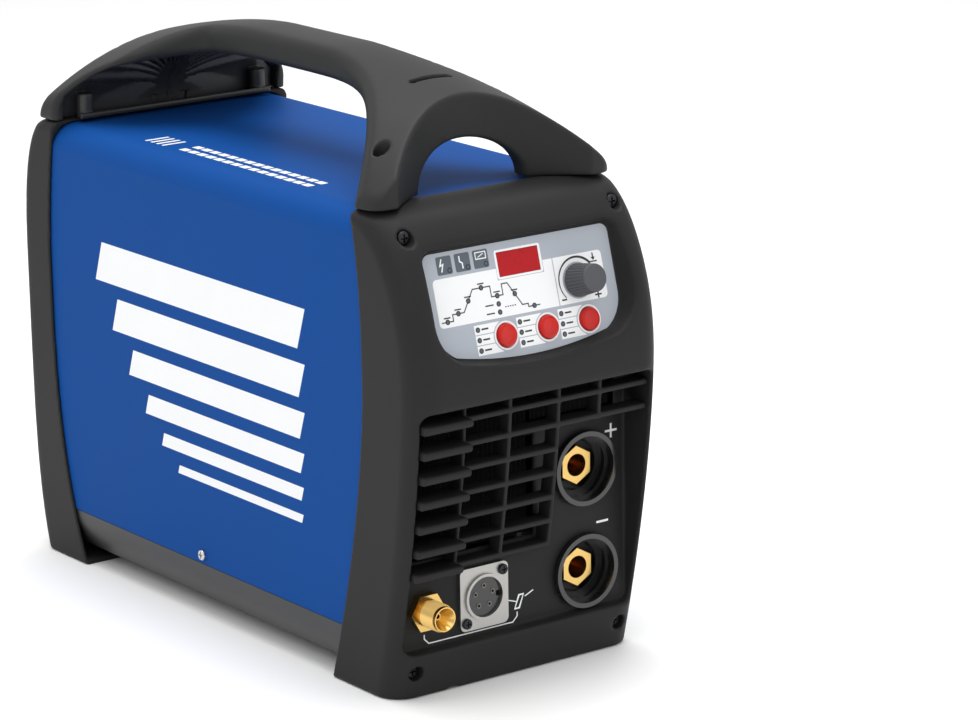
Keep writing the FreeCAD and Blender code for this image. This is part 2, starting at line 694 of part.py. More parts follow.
def build_handle():
    """One moulding: grip, forked front hood with an arch through it, and rear hood."""
    body = seen_from_side().common(seen_from_above()).common(under_the_crown())
    body = body.cut(front_arch(1.0, -220, 1.0, -139)).cut(front_arch(1.0, -140, 2.1, -90))
    body = body.cut(block(-14, 14, -114.5, -111.5, 300, 345))
    for side in (-1, 1):
        body = body.cut(block(side * 58 - 6, side * 58 + 6, 150.5, 153.5, 280, 330))
    for x, y in HANDLE_SCREWS[:2]:
        body = body.fuse(Part.makeCylinder(4.8, 4, Vector(x, y, dim("cover_top") + 0.1)))
        body = body.cut(Part.makeCylinder(4.6, 60, Vector(x, y, SEAT + 9)))
    for x, y in HANDLE_SCREWS:
        body = body.cut(Part.makeCylinder(1.9, 26, Vector(x, y, SEAT - 5)))
    return body


def build_hood_louvre():
    """Ribbed wall under the rear hood: an inclined plate with two fans of slats."""
    low, high = Vector(0, 155, SEAT + 3), Vector(0, 107, 312)
    run = high - low
    lean = math.degrees(math.atan2(run.z, -run.y))
    plate = Part.makeBox(112, run.Length, 1.6, Vector(-56, 0, 0))
    members = [plate]
    for side in (-1, 1):
        for k in range(6):
            slat = Part.makeBox(62, 1.4, 3.2, Vector(0, -0.7, 1.4))
            slat.rotate(Vector(0, 0, 0), Vector(0, 0, 1), 8 + 9 * k)
            slat.translate(Vector(2, 2 + k * 7.0, 0))
            if side < 0:
                slat = slat.mirror(Vector(0, 0, 0), Vector(1, 0, 0))
            members.append(slat)
    members.append(Part.makeBox(3, run.Length, 4.4, Vector(-1.5, 0, 0)))
    solid = members[0].multiFuse(members[1:])
    solid = solid.common(Part.makeBox(112, run.Length, 8, Vector(-56, 0, 0)))
    solid.rotate(Vector(0, 0, 0), Vector(1, 0, 0), 180 - lean)
    solid.translate(low)
    return solid.removeSplitter()


rear_bezel = keep(free("rear_bezel", build_rear_bezel()), "rear_bezel")
rear_grille = keep(free("rear_grille", build_rear_grille()), "rear_grille")
handle = keep(free("handle", build_handle()), "handle")
hood_louvre = keep(free("hood_louvre", build_hood_louvre()), "hood_louvre")


# --------------------------------------------------------- cover and chassis
COVER_SCREW_Y, COVER_SCREW_Z = 9.0, 38.5


def build_cover():
    """Folded sheet cover: two sides and a top, with holes for its screws."""
    half, crown, low = dim("cover_half"), dim("cover_top"), dim("cover_low")
    sheet_thick, bend = dim("cover_sheet"), dim("cover_round")
    front, rear = -dim("cover_front"), dim("cover_rear")

    def arch(inset, radius):
        body = block(-half + inset, half - inset, front, rear, low, crown - inset)
        edges = [e for e in body.Edges if e.BoundBox.YLength > 100 and e.BoundBox.ZMin > 200]
        return body.makeFillet(radius, edges)

    inner = arch(sheet_thick, bend - sheet_thick)
    inner = inner.fuse(moved(inner, z=-40).common(block(-half + sheet_thick, half - sheet_thick,
                                                        front, rear, -10, 100)))
    body = arch(0, bend).cut(inner)
    body = body.cut(Part.makeCylinder(2.2, 2 * half + 4, Vector(-half - 2, COVER_SCREW_Y,
                                                                COVER_SCREW_Z), Vector(1, 0, 0)))
    for x, y in HANDLE_SCREWS:
        body = body.cut(Part.makeCylinder(2.4, 10, Vector(x, y, crown - 5)))
    return body


def build_base_tray():
    """Moulded floor with convex side beams and a rim that the cover fits over."""
    half, low, wall = dim("cover_half"), dim("tray_low"), dim("tray_wall")
    front, rear = -dim("tray_front"), dim("tray_rear")
    shoulder = dim("cover_low") - 0.3
    rim_out = half - dim("cover_sheet") - 0.2
    rim_top = shoulder + 12

    def profile(side):
        bulge = Part.Arc(Vector(side * (half - 9), 0, low), Vector(side * (half - 3.2), 0, low + 8),
                         Vector(side * half, 0, shoulder)).toShape()
        inner = Part.Arc(Vector(side * (half - 9 - wall), 0, low + wall),
                         Vector(side * (half - 4.2 - wall), 0, low + 11),
                         Vector(side * (rim_out - wall), 0, shoulder)).toShape()
        run = [Vector(side * half, 0, shoulder), Vector(side * rim_out, 0, shoulder),
               Vector(side * rim_out, 0, rim_top), Vector(side * (rim_out - wall), 0, rim_top),
               Vector(side * (rim_out - wall), 0, shoulder)]
        return [bulge, inner] + [Part.makeLine(a, b) for a, b in zip(run, run[1:])]

    edges = profile(1) + profile(-1)
    edges.append(Part.makeLine(Vector(-(half - 9), 0, low), Vector(half - 9, 0, low)))
    edges.append(Part.makeLine(Vector(-(half - 9 - wall), 0, low + wall),
                               Vector(half - 9 - wall, 0, low + wall)))
    body = moved(extruded(edges, Vector(0, rear - front, 0)), y=front)
    blocks = [block(x - 7, x + 7, y0, y1, low + 1, 23) for x in (-dim("screw_pitch_x") + 2,
                                                                dim("screw_pitch_x") - 2)
              for y0, y1 in ((front, front + 18), (rear - 18, rear))]
    body = body.multiFuse(blocks)
    for x, z in SCREWS:
        if z < 100:
            body = body.cut(across_y(2.0, x, z, front - 5, front + 24))
            body = body.cut(across_y(2.0, x, z, rear - 24, rear + 5))
    body = body.cut(Part.makeCylinder(2.0, 2 * half, Vector(-half, COVER_SCREW_Y, COVER_SCREW_Z),
                                      Vector(1, 0, 0)))
    return body.removeSplitter()


cover = keep(free("cover", build_cover()), "cover")
base_tray = keep(free("base_tray", build_base_tray()), "base_tray")


def mirrored_block(side, x0, x1, y0, y1, z0, z1):
    """A block on the right, or its mirror image on the left."""
    return block(x0, x1, y0, y1, z0, z1) if side > 0 else block(-x1, -x0, y0, y1, z0, z1)


def build_cover_brackets():
    """Four steel angles inside the cover's upper corners, drilled for the screws."""
    inner = dim("cover_top") - dim("cover_sheet")
    brackets = []
    for x, z in SCREWS:
        if z < 100:
            continue
        side = 1 if x > 0 else -1
        for screw_x, screw_y in HANDLE_SCREWS[:2]:
            if screw_x * side < 0:
                continue
            flange = mirrored_block(side, 60, 75, -163.5, -162, z - 6, z + 4)
            riser = mirrored_block(side, 60, 66, -163.5, -162, z, inner - 0.3)
            top = mirrored_block(side, 52, 66, -163.5, -138, inner - 2.0, inner - 0.3)
            shape = flange.multiFuse([riser, top]).cut(across_y(2.0, x, z, -170, -150))
            brackets.append(shape.cut(Part.makeCylinder(2.0, 20, Vector(screw_x, screw_y, 255))))
        brackets.append(mirrored_block(side, 60, 75, 164, 165.5, z - 6, z + 4)
                        .fuse(mirrored_block(side, 60, 66, 155, 165.5, z, z + 2))
                        .cut(across_y(2.0, x, z, 150, 170)))
    return Part.makeCompound(brackets)


cover_brackets = keep(free("cover_brackets", build_cover_brackets()), "cover_brackets")


# ---------------------------------------------------------------- fasteners
def screw_shape(head_radius, head_height, shank_radius, length):
    """A pan-head cross-recess screw along +Z, seat of the head at zero, head below."""
    head = Part.makeCylinder(head_radius, head_height, Vector(0, 0, -head_height))
    rim = [e for e in head.Edges if abs(e.BoundBox.ZMax + head_height) < 0.01]
    head = head.makeFillet(head_height * 0.45, rim)
    solid = head.fuse(Part.makeCylinder(shank_radius, length))
    arm = head_radius * 0.62
    for long_side, short_side in ((arm, arm * 0.22), (arm * 0.22, arm)):
        solid = solid.cut(block(-long_side, long_side, -short_side, short_side,
                                -head_height - 1, -head_height * 0.35))
    return solid


def screws_at(label, shape, places):
    """Copies of one screw; each place is a position and the way the point looks."""
    copies = []
    for position, direction in places:
        copy = shape.copy()
        copy.Placement = Placement(position, Rotation(Vector(0, 0, 1), direction))
        copies.append(copy)
    return keep(free(label, Part.makeCompound(copies)), label)


TO_BACK, TO_FRONT, DOWN, UP = Vector(0, 1, 0), Vector(0, -1, 0), Vector(0, 0, -1), Vector(0, 0, 1)
CASE_SCREW = screw_shape(3.8, 2.4, 1.9, 22.0)
SMALL_SCREW = screw_shape(3.2, 2.0, 1.6, 6.0)
screws_at("case_screws", CASE_SCREW,
          [(Vector(x, -181.0 if z > 100 else -180.0, z), TO_BACK) for x, z in SCREWS]
          + [(Vector(x, BACK - 19, z), TO_FRONT) for x, z in SCREWS]
          + [(Vector(x, y, SEAT + 9), DOWN) for x, y in HANDLE_SCREWS[:2]]
          + [(Vector(x, y, dim("cover_top") - dim("cover_sheet") - 0.1), UP)
             for x, y in HANDLE_SCREWS[2:]])
screws_at("cover_screws", SMALL_SCREW,
          [(Vector(side * dim("cover_half"), COVER_SCREW_Y, COVER_SCREW_Z), Vector(-side, 0, 0))
           for side in (-1, 1)])


# -------------------------------------------------------------- control panel
def build_label():
    """Printed polycarbonate sheet with openings for the display, buttons and knob."""
    thick = dim("label_sheet")
    sheet_face = Part.Face(label_outline(0, -thick))
    solid = sheet_face.extrude(Vector(0, 0, thick))
    solid.Placement = PANEL
    x0, x1, v0, v1 = DISPLAY
    solid = solid.cut(panel_box(x0, x1, v0, v1, -2, 2))
    solid = solid.cut(panel_hole(4.9, dim("knob_across"), dim("knob_along")))
    for x in BUTTONS:
        solid = solid.cut(panel_hole(dim("button_radius") + 0.25, x, ROW))
    return solid


keep(free("control_label", build_label()), "control_label")

window = box("window_sheet", DISPLAY[1] - DISPLAY[0] - 0.3, DISPLAY[3] - DISPLAY[2] - 0.3, 2.0,
             0, 0, 0)
keep(on_panel(window, DISPLAY[0] + 0.15, DISPLAY[2] + 0.15, -2.0), "display_window")
digits = box("digits_block", 26.0, 12.4, 5.0, 0, 0, 0)
keep(on_panel(digits, DISPLAY[0] + 1.1, DISPLAY[2] + 0.6, -7.2), "display_module")

board = prism("control_board", "XY_Plane",
              (("-label_half + 6", "-26"), ("label_half - 6", "-26"), ("label_half - 6", "29"),
               ("-label_half + 6", "29")), "board_thick",
              [("shaft_radius + 0.6", "knob_across", "knob_along")])
keep(on_panel(board, 0, 0, "-7.3 - board_thick"), "control_board")


def build_knob():
    """Tapered knob with ribs round its skirt and a blind hole for the shaft."""
    base, tip, tall = dim("knob_radius"), dim("knob_tip_radius"), dim("knob_height")
    body = Part.makeCone(base, tip, tall - 0.8, Vector(0, 0, 0.8))
    top_edge = [e for e in body.Edges if e.BoundBox.ZMin > tall - 0.1 and e.Length > 10]
    body = body.makeFillet(0.9, top_edge)
    ribs = 30
    for k in range(ribs):
        groove = Part.makeCylinder(0.42, tall - 1.0, Vector(base + 0.12, 0, 0.2))
        groove.rotate(Vector(base, 0, 0), Vector(0, 1, 0), -math.degrees(math.atan2(base - tip, tall)))
        groove.rotate(Vector(0, 0, 0), Vector(0, 0, 1), 360.0 / ribs * k)
        body = body.cut(groove)
    return body.cut(Part.makeCylinder(dim("shaft_radius") + 0.02, 12.2, Vector(0, 0, 0)))


knob = keep(free("encoder_knob", build_knob()), "encoder_knob")
on_panel(knob, "knob_across", "knob_along", 0)
shaft = rod("shaft_bar", "shaft_radius", 18.0, 0, 0, 0)
keep(on_panel(shaft, "knob_across", "knob_along", -6.0), "encoder_shaft")
bush = turned("encoder_bush", (("shaft_radius + 0.05", "0"), ("6.5", "0"), ("6.5", "3.6"),
                               ("4.6", "3.6"), ("4.6", "7.2"), ("shaft_radius + 0.05", "7.2")))
keep(on_panel(bush, "knob_across", "knob_along", -7.2), "encoder_body")

for number, across in enumerate(BUTTONS, start=1):
    name = f"button_{number}"
    cap = turned(name + "_cap", (("0", "-6.1"), ("4.0", "-6.1"), ("4.0", "-4.6"),
                                 ("button_radius + 1", "-4.6"), ("button_radius + 1", "-3.4"),
                                 ("button_radius", "-3.4"), ("button_radius", "0.7"),
                                 ("button_radius * 0.93", "button_proud * 0.62"),
                                 ("button_radius * 0.72", "button_proud * 0.85"),
                                 ("button_radius * 0.4", "button_proud * 0.97"),
                                 ("0", "button_proud")))
    keep(on_panel(cap, across, "button_row", 0), name)

switches = [on_panel(rod(f"switch_{k}", 3.4, 0.3, 0, 0, 0), x, "button_row", -7.3)
            for k, x in enumerate(BUTTONS)]
keep(group("button_switch_group", *switches), "button_switches")


# ------------------------------------------------------------ output sockets
strips = []
for name, height in (("plus", "socket_high"), ("minus", "socket_low")):
    shroud = turned(f"socket_{name}_shroud",
                    (("socket_bowl", "socket_proud"), ("socket_radius", "socket_proud"),
                     ("socket_radius", "0"), ("socket_radius - 1.5", "0"),
                     ("socket_radius - 1.5", "-20"), ("contact_radius + 0.3", "-20"),
                     ("contact_radius + 0.3", "-17"), ("socket_bowl - 3.5", "-17"),
                     ("socket_bowl - 3.5", "-9"), ("socket_bowl - 1.2", "-9"),
                     ("socket_bowl - 1.2", "-3"), ("socket_bowl", "-3")))
    keep(place(shroud, "socket_across", "-recess_floor", height, *FACE_FRONT),
         f"socket_{name}_housing")
    brass = prism(f"socket_{name}_hexagon", "XY_Plane",
                  tuple((f"contact_radius * {math.sin(math.radians(60 * k)):.6f}",
                         f"contact_radius * {math.cos(math.radians(60 * k)):.6f}")
                        for k in range(6)), "contact_length",
                  [("contact_bore", "0", "0")])
    keep(place(brass, "socket_across", "-recess_floor - socket_proud + 10 + contact_length", height,
               *FACE_FRONT), f"socket_{name}_contact")
    reach = 34 if name == "plus" else 16
    strips.append(box(f"bar_{name}", 16, reach, 2.5, "socket_across - 8", "-recess_floor + 36.2",
                      f"{height} - 1.25"))
keep(group("bar_pair", *strips), "busbars")


# ---------------------------------------------------------------- gas circuit
def spigot_shape(thread, bore, proud, hexagon, behind):
    """A brass fitting along +Z: barb behind the wall, hexagon on it, threaded spigot."""
    outline = [Vector(hexagon * math.cos(math.radians(60 * k)),
                      hexagon * math.sin(math.radians(60 * k)), 0) for k in range(7)]
    body = Part.Face(Part.makePolygon(outline)).extrude(Vector(0, 0, 5))
    core = Part.makeCylinder(thread - 0.9, proud)
    body = body.fuse(core)
    turns = int((proud - 8) / 1.6)
    for k in range(turns):
        ridge = Part.makeCone(thread - 0.9, thread, 0.75, Vector(0, 0, 6.5 + 1.6 * k))
        ridge = ridge.fuse(Part.makeCone(thread, thread - 0.9, 0.75, Vector(0, 0, 7.25 + 1.6 * k)))
        body = body.fuse(ridge)
    body = body.fuse(Part.makeCylinder(4.9, 6, Vector(0, 0, -6)))
    body = body.fuse(Part.makeCylinder(2.4, behind, Vector(0, 0, -behind)))
    body = body.cut(Part.makeCylinder(bore * 0.7, proud + behind + 2, Vector(0, 0, -behind - 1)))
    return body.cut(Part.makeCone(bore, thread - 1.6, 7, Vector(0, 0, proud - 7)))


def fitting(label, shape, y, front):
    """A gas fitting on the line of the hose."""
    axis, angle = FACE_FRONT if front else FACE_REAR
    return keep(place(free(label, shape), "gas_across", y, "gas_height", axis, angle), label)


fitting("gas_outlet", spigot_shape(dim("gas_thread"), dim("gas_bore"), dim("gas_proud"), 11.6, 14),
        "-recess_floor - 0.1", True)
fitting("gas_inlet", spigot_shape(5.2, 1.8, 22.4, 9.4, 14), REAR_FLOOR + 0.1, False)


def hexagon_nut(label, across_corners, bore, thick, y):
    """A hexagon nut whose axis is the line of the hose."""
    body = prism(label + "_blank", "XY_Plane",
                 tuple((f"{across_corners * math.cos(math.radians(60 * k)) / 2:.4f}",
                        f"{across_corners * math.sin(math.radians(60 * k)) / 2:.4f}")
                       for k in range(6)), thick, [(bore, "0", "0")])
    return place(body, "gas_across", y, "gas_height", *FACE_REAR)


keep(group("gas_nut_pair", hexagon_nut("outlet_nut", 18, "4.95", 2.6, FLOOR_BACK + 0.1),
           hexagon_nut("inlet_nut", 18, "4.95", 2.6, REAR_INSIDE - 2.8)), "gas_fitting_nuts")

VALVE_FRONT, VALVE_REAR = 118.0, 146.0
hose_front = tube("hose_front_tube", 4.0, 2.5, VALVE_FRONT - 4 - (FLOOR_BACK + 3.5))
place(hose_front, "gas_across", FLOOR_BACK + 3.5, "gas_height", *FACE_REAR)
hose_rear = tube("hose_rear_tube", 4.0, 2.5, REAR_INSIDE - 3.5 - VALVE_REAR - 4)
place(hose_rear, "gas_across", VALVE_REAR + 4, "gas_height", *FACE_REAR)
keep(group("hose_pair", hose_front, hose_rear), "gas_hoses")

valve_block = box("valve_block", 26, VALVE_REAR - VALVE_FRONT, 24, GAS_X - 13, VALVE_FRONT, GAS_Z - 12)
valve_ends = [place(tube(f"valve_end_{k}", 2.4, 1.4, 12), "gas_across", y, "gas_height", *FACE_REAR)
              for k, y in enumerate((VALVE_FRONT - 12, VALVE_REAR))]
valve_well = rod("valve_well", 5.3, 9, GAS_X, 132, GAS_Z + 5)
keep(cut("valve_body_cut", fuse("valve_body_fused", valve_block, *valve_ends), valve_well), "valve_body")
coil = tube("coil_tube", 12, 5.6, 28)
keep(place(coil, GAS_X, 132, GAS_Z + 12.1), "valve_coil")
plunger = turned("plunger_turn", (("0", "0"), ("5.2", "0"), ("5.2", "3"), ("5.0", "3"), ("5.0", "22"),
                                  ("0", "22")))
keep(place(plunger, GAS_X, 132, GAS_Z + 5.5), "valve_plunger")


# ------------------------------------------------------- torch control socket
def build_torch_flange():
    """Die-cast flange with a round mouth and two screw holes."""
    wide, tall = dim("torch_flange_wide"), dim("torch_flange_tall")
    body = rounded_block(-wide / 2, wide / 2, -2.2, -0.1, -tall / 2, tall / 2, 3.5)
    body = body.fuse(across_y(dim("torch_insert") + 1.6, 0, 0, -3.6, -0.1))
    body = body.fuse(across_y(dim("torch_insert") + 1.0, 0, 0, -0.1, 8))
    body = body.cut(across_y(dim("torch_insert"), 0, 0, -5, 6.5))
    body = body.cut(across_y(dim("torch_insert") - 2, 0, 0, -5, 9))
    for side in (-1, 1):
        body = body.cut(across_y(1.7, side * (wide / 2 - 4), side * (tall / 2 - 4.5), -5, 2))
    return moved(body, dim("torch_across"), FLOOR, dim("torch_height"))


def build_torch_insert():
    """Round insulator with five contact holes and a key slot."""
    body = across_y(dim("torch_insert") - 0.1, 0, 0, -1.6, 6.4)
    for k in range(5):
        angle = math.radians(90 + 72 * k)
        body = body.cut(across_y(1.5, 6.2 * math.cos(angle), 6.2 * math.sin(angle), -3, 7))
    body = body.cut(block(dim("torch_insert") - 3.2, dim("torch_insert") + 1, -3, 3, -1.6, 1.6))
    return moved(body, dim("torch_across"), FLOOR, dim("torch_height"))


def build_torch_contacts():
    """Five brass sockets in the insulator."""
    tubes = []
    for k in range(5):
        angle = math.radians(90 + 72 * k)
        x, z = 6.2 * math.cos(angle), 6.2 * math.sin(angle)
        tubes.append(across_y(1.5, x, z, -1.9, 11).cut(across_y(0.8, x, z, -3, 6)))
    return moved(Part.makeCompound(tubes), dim("torch_across"), FLOOR, dim("torch_height"))


keep(free("torch_socket_flange", build_torch_flange()), "torch_socket_flange")
keep(free("torch_socket_insert", build_torch_insert()), "torch_socket_insert")
keep(free("torch_socket_contacts", build_torch_contacts()), "torch_socket_contacts")
FLANGE_SCREW = screw_shape(3.0, 1.8, 1.6, 4.9)
screws_at("torch_socket_screws", FLANGE_SCREW,
          [(Vector(dim("torch_across") + side * (dim("torch_flange_wide") / 2 - 4), FLOOR - 2.2,
                   dim("torch_height") + side * (dim("torch_flange_tall") / 2 - 4.5)), TO_BACK)
           for side in (-1, 1)])


# ------------------------------------------------------------ fan and switch
def build_fan_frame():
    """Square duct with a hub carried on four arms and four corner holes."""
    half, deep, bore = dim("fan_size") / 2, dim("fan_depth"), dim("fan_bore")
    body = rounded_block(-half, half, 0, deep, -half, half, 5)
    body = body.cut(across_y(bore, 0, 0, -1, deep + 1))
    hub = across_y(15.0, 0, 0, 0, 4)
    arms = [block(-1.5, 1.5, 0, 3, 10, bore + 2) for k in range(4)]
    for k, arm in enumerate(arms):
        arm.rotate(Vector(0, 0, 0), Vector(0, 1, 0), 45 + 90 * k)
    body = body.multiFuse([hub] + arms)
    body = body.cut(across_y(2.0, 0, 0, -1, 5))
    for dx in (-38, 38):
        for dz in (-38, 38):
            body = body.cut(across_y(2.2, dx, dz, -1, deep + 1))
    return body


def build_fan_rotor():
    """Hub cup with a spindle and seven pitched blades."""
    hub, tip, deep = dim("fan_hub"), dim("fan_tip"), dim("fan_depth")
    body = across_y(hub, 0, 0, 5, deep - 2)
    body = body.fuse(across_y(1.96, 0, 0, 0.5, 6))
    for k in range(7):
        blade = Part.makeBox(15, 1.6, tip - hub + 5, Vector(-7.5, -0.8, hub - 3))
        blade.rotate(Vector(0, 0, 0), Vector(0, 0, 1), 42)
        blade = moved(blade, y=deep / 2 + 1.5)
        blade.rotate(Vector(0, 0, 0), Vector(0, 1, 0), 360.0 / 7 * k)
        body = body.fuse(blade)
    return body.common(across_y(tip, 0, 0, 0, deep - 1.5))


FAN_Y = REAR_INSIDE - 0.2 - dim("fan_depth")
fan_frame = keep(free("fan_frame", build_fan_frame()), "fan_frame")
place(fan_frame, "fan_across", FAN_Y, "fan_height")
fan_rotor = keep(free("fan_rotor", build_fan_rotor()), "fan_rotor")
place(fan_rotor, "fan_across", FAN_Y, "fan_height")
screws_at("fan_screws", screw_shape(3.0, 1.8, 1.7, 12.0),
          [(Vector(FAN_X + dx, REAR_FLOOR + 0.05, FAN_Z + dz), TO_FRONT)
           for dx in (-38, 38) for dz in (-38, 38)])


def build_switch_knob():
    """Round selector with a raised grip bar and a stub shaft through the wall."""
    body = across_y(16.0, 0, 0, 0.4, 4.5)
    bar = block(-4.2, 4.2, 3, 17, -15.2, 15.2).common(across_y(15.2, 0, 0, 0, 17))
    edges = [e for e in bar.Edges if e.BoundBox.YMin > 16.9]
    body = body.fuse(bar.makeFillet(1.5, edges))
    return body.fuse(across_y(5.9, 0, 0, -6.0, 1.0))


switch_knob = keep(free("mains_switch_knob", build_switch_knob()), "mains_switch_knob")
place(switch_knob, SWITCH_X, REAR_FLOOR, SWITCH_Z)
switch_block = box("switch_block", 36, 34, 40, SWITCH_X - 18, REAR_INSIDE - 34.1, SWITCH_Z - 20)
switch_well = rod("switch_well", 6.2, 6, SWITCH_X, REAR_INSIDE - 4, SWITCH_Z, *FACE_REAR)
keep(cut("switch_cut", switch_block, switch_well), "mains_switch_body")

gland = turned("gland_body_turn", (("5.6", "-9"), ("11.0", "-9"), ("11.0", "0.1"), ("15.5", "0.1"),
                                   ("15.5", "6"), ("12.0", "6"), ("12.0", "12"), ("5.6", "12")))
keep(place(gland, GLAND_X, REAR_FLOOR, GLAND_Z, *FACE_REAR), "cable_gland_body")
gland_cap = turned("gland_cap_turn", (("12.2", "6.2"), ("15.0", "6.2"), ("15.0", "14"),
                                      ("12.5", "18"), ("9.5", "22.5"), ("5.6", "22.5"),
                                      ("5.6", "12.4"), ("12.2", "12.4")))
keep(place(gland_cap, GLAND_X, REAR_FLOOR, GLAND_Z, *FACE_REAR), "cable_gland_cap")
gland_nut = tube("gland_nut_ring", 15.0, 11.1, 4.0)
keep(place(gland_nut, GLAND_X, REAR_INSIDE - 4.1, GLAND_Z, *FACE_REAR), "cable_gland_nut")


# --------------------------------------------------------------- electronics
FLOOR_TOP = dim("tray_low") + dim("tray_wall")
BOARD_Z = 38.0
posts = [rod(f"post_{k}", 3.0, BOARD_Z - FLOOR_TOP, x, y, FLOOR_TOP)
         for k, (x, y) in enumerate((x, y) for x in (-60, 64) for y in (-122, 100))]
keep(group("post_group", *posts), "board_posts")
power = prism("power_board_outline", "XY_Plane",
              (("-66", "-130"), ("70", "-130"), ("70", "108"), ("-66", "108")), "board_thick")
keep(place(power, 0, 0, BOARD_Z), "power_board")
DECK = BOARD_Z + dim("board_thick")

for side, x in (("primary", 22.0), ("secondary", -46.0)):
    wall_x = x if side == "primary" else x + 42.0
    members = [box(f"{side}_wall", 6, 120, 72, wall_x, -18, DECK + 2)]
    fin_start = x + 6 if side == "primary" else x
    for k in range(9):
        members.append(box(f"{side}_fin_{k}", 42, 120, 2, fin_start, -18, DECK + 5 + k * 8.0))
    keep(fuse(f"{side}_sink", *members), f"heatsink_{side}")

modules = [box(f"igbt_{k}", 5, 20, 16, 17.0, -10 + 28 * k, DECK + 8) for k in range(4)]
keep(group("igbt_group", *modules), "igbt_modules")
diodes = [box(f"diode_{k}", 5, 20, 16, 2.0, -10 + 28 * k, DECK + 8) for k in range(4)]
keep(group("diode_group", *diodes), "rectifier_diodes")
cans = [rod(f"can_{k}", 14.5, 44, 50, -112 + 32 * k, DECK) for k in range(3)]
keep(group("can_group", *cans), "bus_capacitors")

core_block = box("core_block", 60, 34, 62, -46, -100, DECK)
core_windows = fuse("core_windows", box("core_window_0", 13, 34, 40, -38, -100, DECK + 11),
                    box("core_window_1", 13, 34, 40, -7, -100, DECK + 11))
keep(cut("core_cut", core_block, core_windows), "transformer_core")
coil_block = box("coil_block", 42, 54, 36, -37, -110, DECK + 13)
coil_slot = box("coil_slot", 18.4, 34.4, 40, -25.2, -100.2, DECK + 11)
keep(cut("coil_cut", coil_block, coil_slot), "transformer_winding")

SHELF_Z = DECK + 2 + 72
shelf = prism("shelf_outline", "XY_Plane", (("-68", "-120"), ("72", "-120"), ("72", "104"),
                                            ("-68", "104")), 1.5)
keep(place(shelf, 0, 0, SHELF_Z), "upper_shelf")

choke = doc.addObject("Part::Torus", "choke_ring")
choke.Radius1 = 26
choke.Radius2 = 9
keep(place(choke, 20, -70, SHELF_Z + 1.5 + 12.3), "output_choke_core")
turns = []
for k in range(16):
    wrap = Part.makeTorus(10.9, 1.3, Vector(26, 0, 0), Vector(0, 1, 0))
    wrap.rotate(Vector(0, 0, 0), Vector(0, 0, 1), 22.5 * k)
    turns.append(wrap)
winding = keep(free("choke_winding", Part.makeCompound(turns)), "output_choke_winding")
place(winding, 20, -70, SHELF_Z + 1.5 + 12.3)
keep(box("hf_case", 44, 56, 36, -64, -106, SHELF_Z + 1.5), "hf_ignition_unit")
relay_stock = [box(f"relay_{k}", 20, 28, 24, -50 + 30 * k, 40, SHELF_Z + 1.5) for k in range(2)]
keep(group("relay_group", *relay_stock), "soft_start_relays")


# ------------------------------------------------------------------ writing
doc.recompute()
faults = [thing.Name for thing in doc.Objects
          if "Invalid" in thing.State or "Error" in thing.State]
faults += [thing.Label for thing in parts if thing.Shape.isNull() or not thing.Shape.isValid()]
if faults:
    raise SystemExit("faulty objects: " + ", ".join(faults))
os.makedirs("parts", exist_ok=True)
for thing in parts:
    thing.Shape.exportStep("parts/" + thing.Label + ".step")
    print(f"{thing.Label:24s} solids {len(thing.Shape.Solids):3d} volume {thing.Shape.Volume:10.0f}")
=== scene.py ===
import json
import math

import bmesh
import bpy
import numpy as np
import openvdb
from mathutils import Matrix, Vector


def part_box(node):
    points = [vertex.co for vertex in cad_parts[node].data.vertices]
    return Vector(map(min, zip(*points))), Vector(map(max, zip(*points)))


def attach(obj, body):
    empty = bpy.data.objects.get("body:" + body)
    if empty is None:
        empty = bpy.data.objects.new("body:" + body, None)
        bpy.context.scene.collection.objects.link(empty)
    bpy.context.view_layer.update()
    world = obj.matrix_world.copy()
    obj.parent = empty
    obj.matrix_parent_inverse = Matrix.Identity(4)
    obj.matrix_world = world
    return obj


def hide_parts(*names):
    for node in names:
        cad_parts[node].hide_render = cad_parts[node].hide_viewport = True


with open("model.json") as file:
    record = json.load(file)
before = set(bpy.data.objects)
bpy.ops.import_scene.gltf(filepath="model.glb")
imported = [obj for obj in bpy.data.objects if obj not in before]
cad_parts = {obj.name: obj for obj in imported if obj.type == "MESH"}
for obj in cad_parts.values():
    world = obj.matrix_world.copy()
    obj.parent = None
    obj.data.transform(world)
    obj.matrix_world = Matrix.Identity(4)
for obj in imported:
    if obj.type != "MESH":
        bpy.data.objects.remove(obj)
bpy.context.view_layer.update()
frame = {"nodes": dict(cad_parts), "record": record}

MM = 0.001
HOUSING = "housing"


# ------------------------------------------------------------------ materials
def node_of(material, kind, **values):
    """Add a shader node and set its sockets by name."""
    node = material.node_tree.nodes.new(kind)
    for name, value in values.items():
        node.inputs[name.replace("_", " ")].default_value = value
    return node


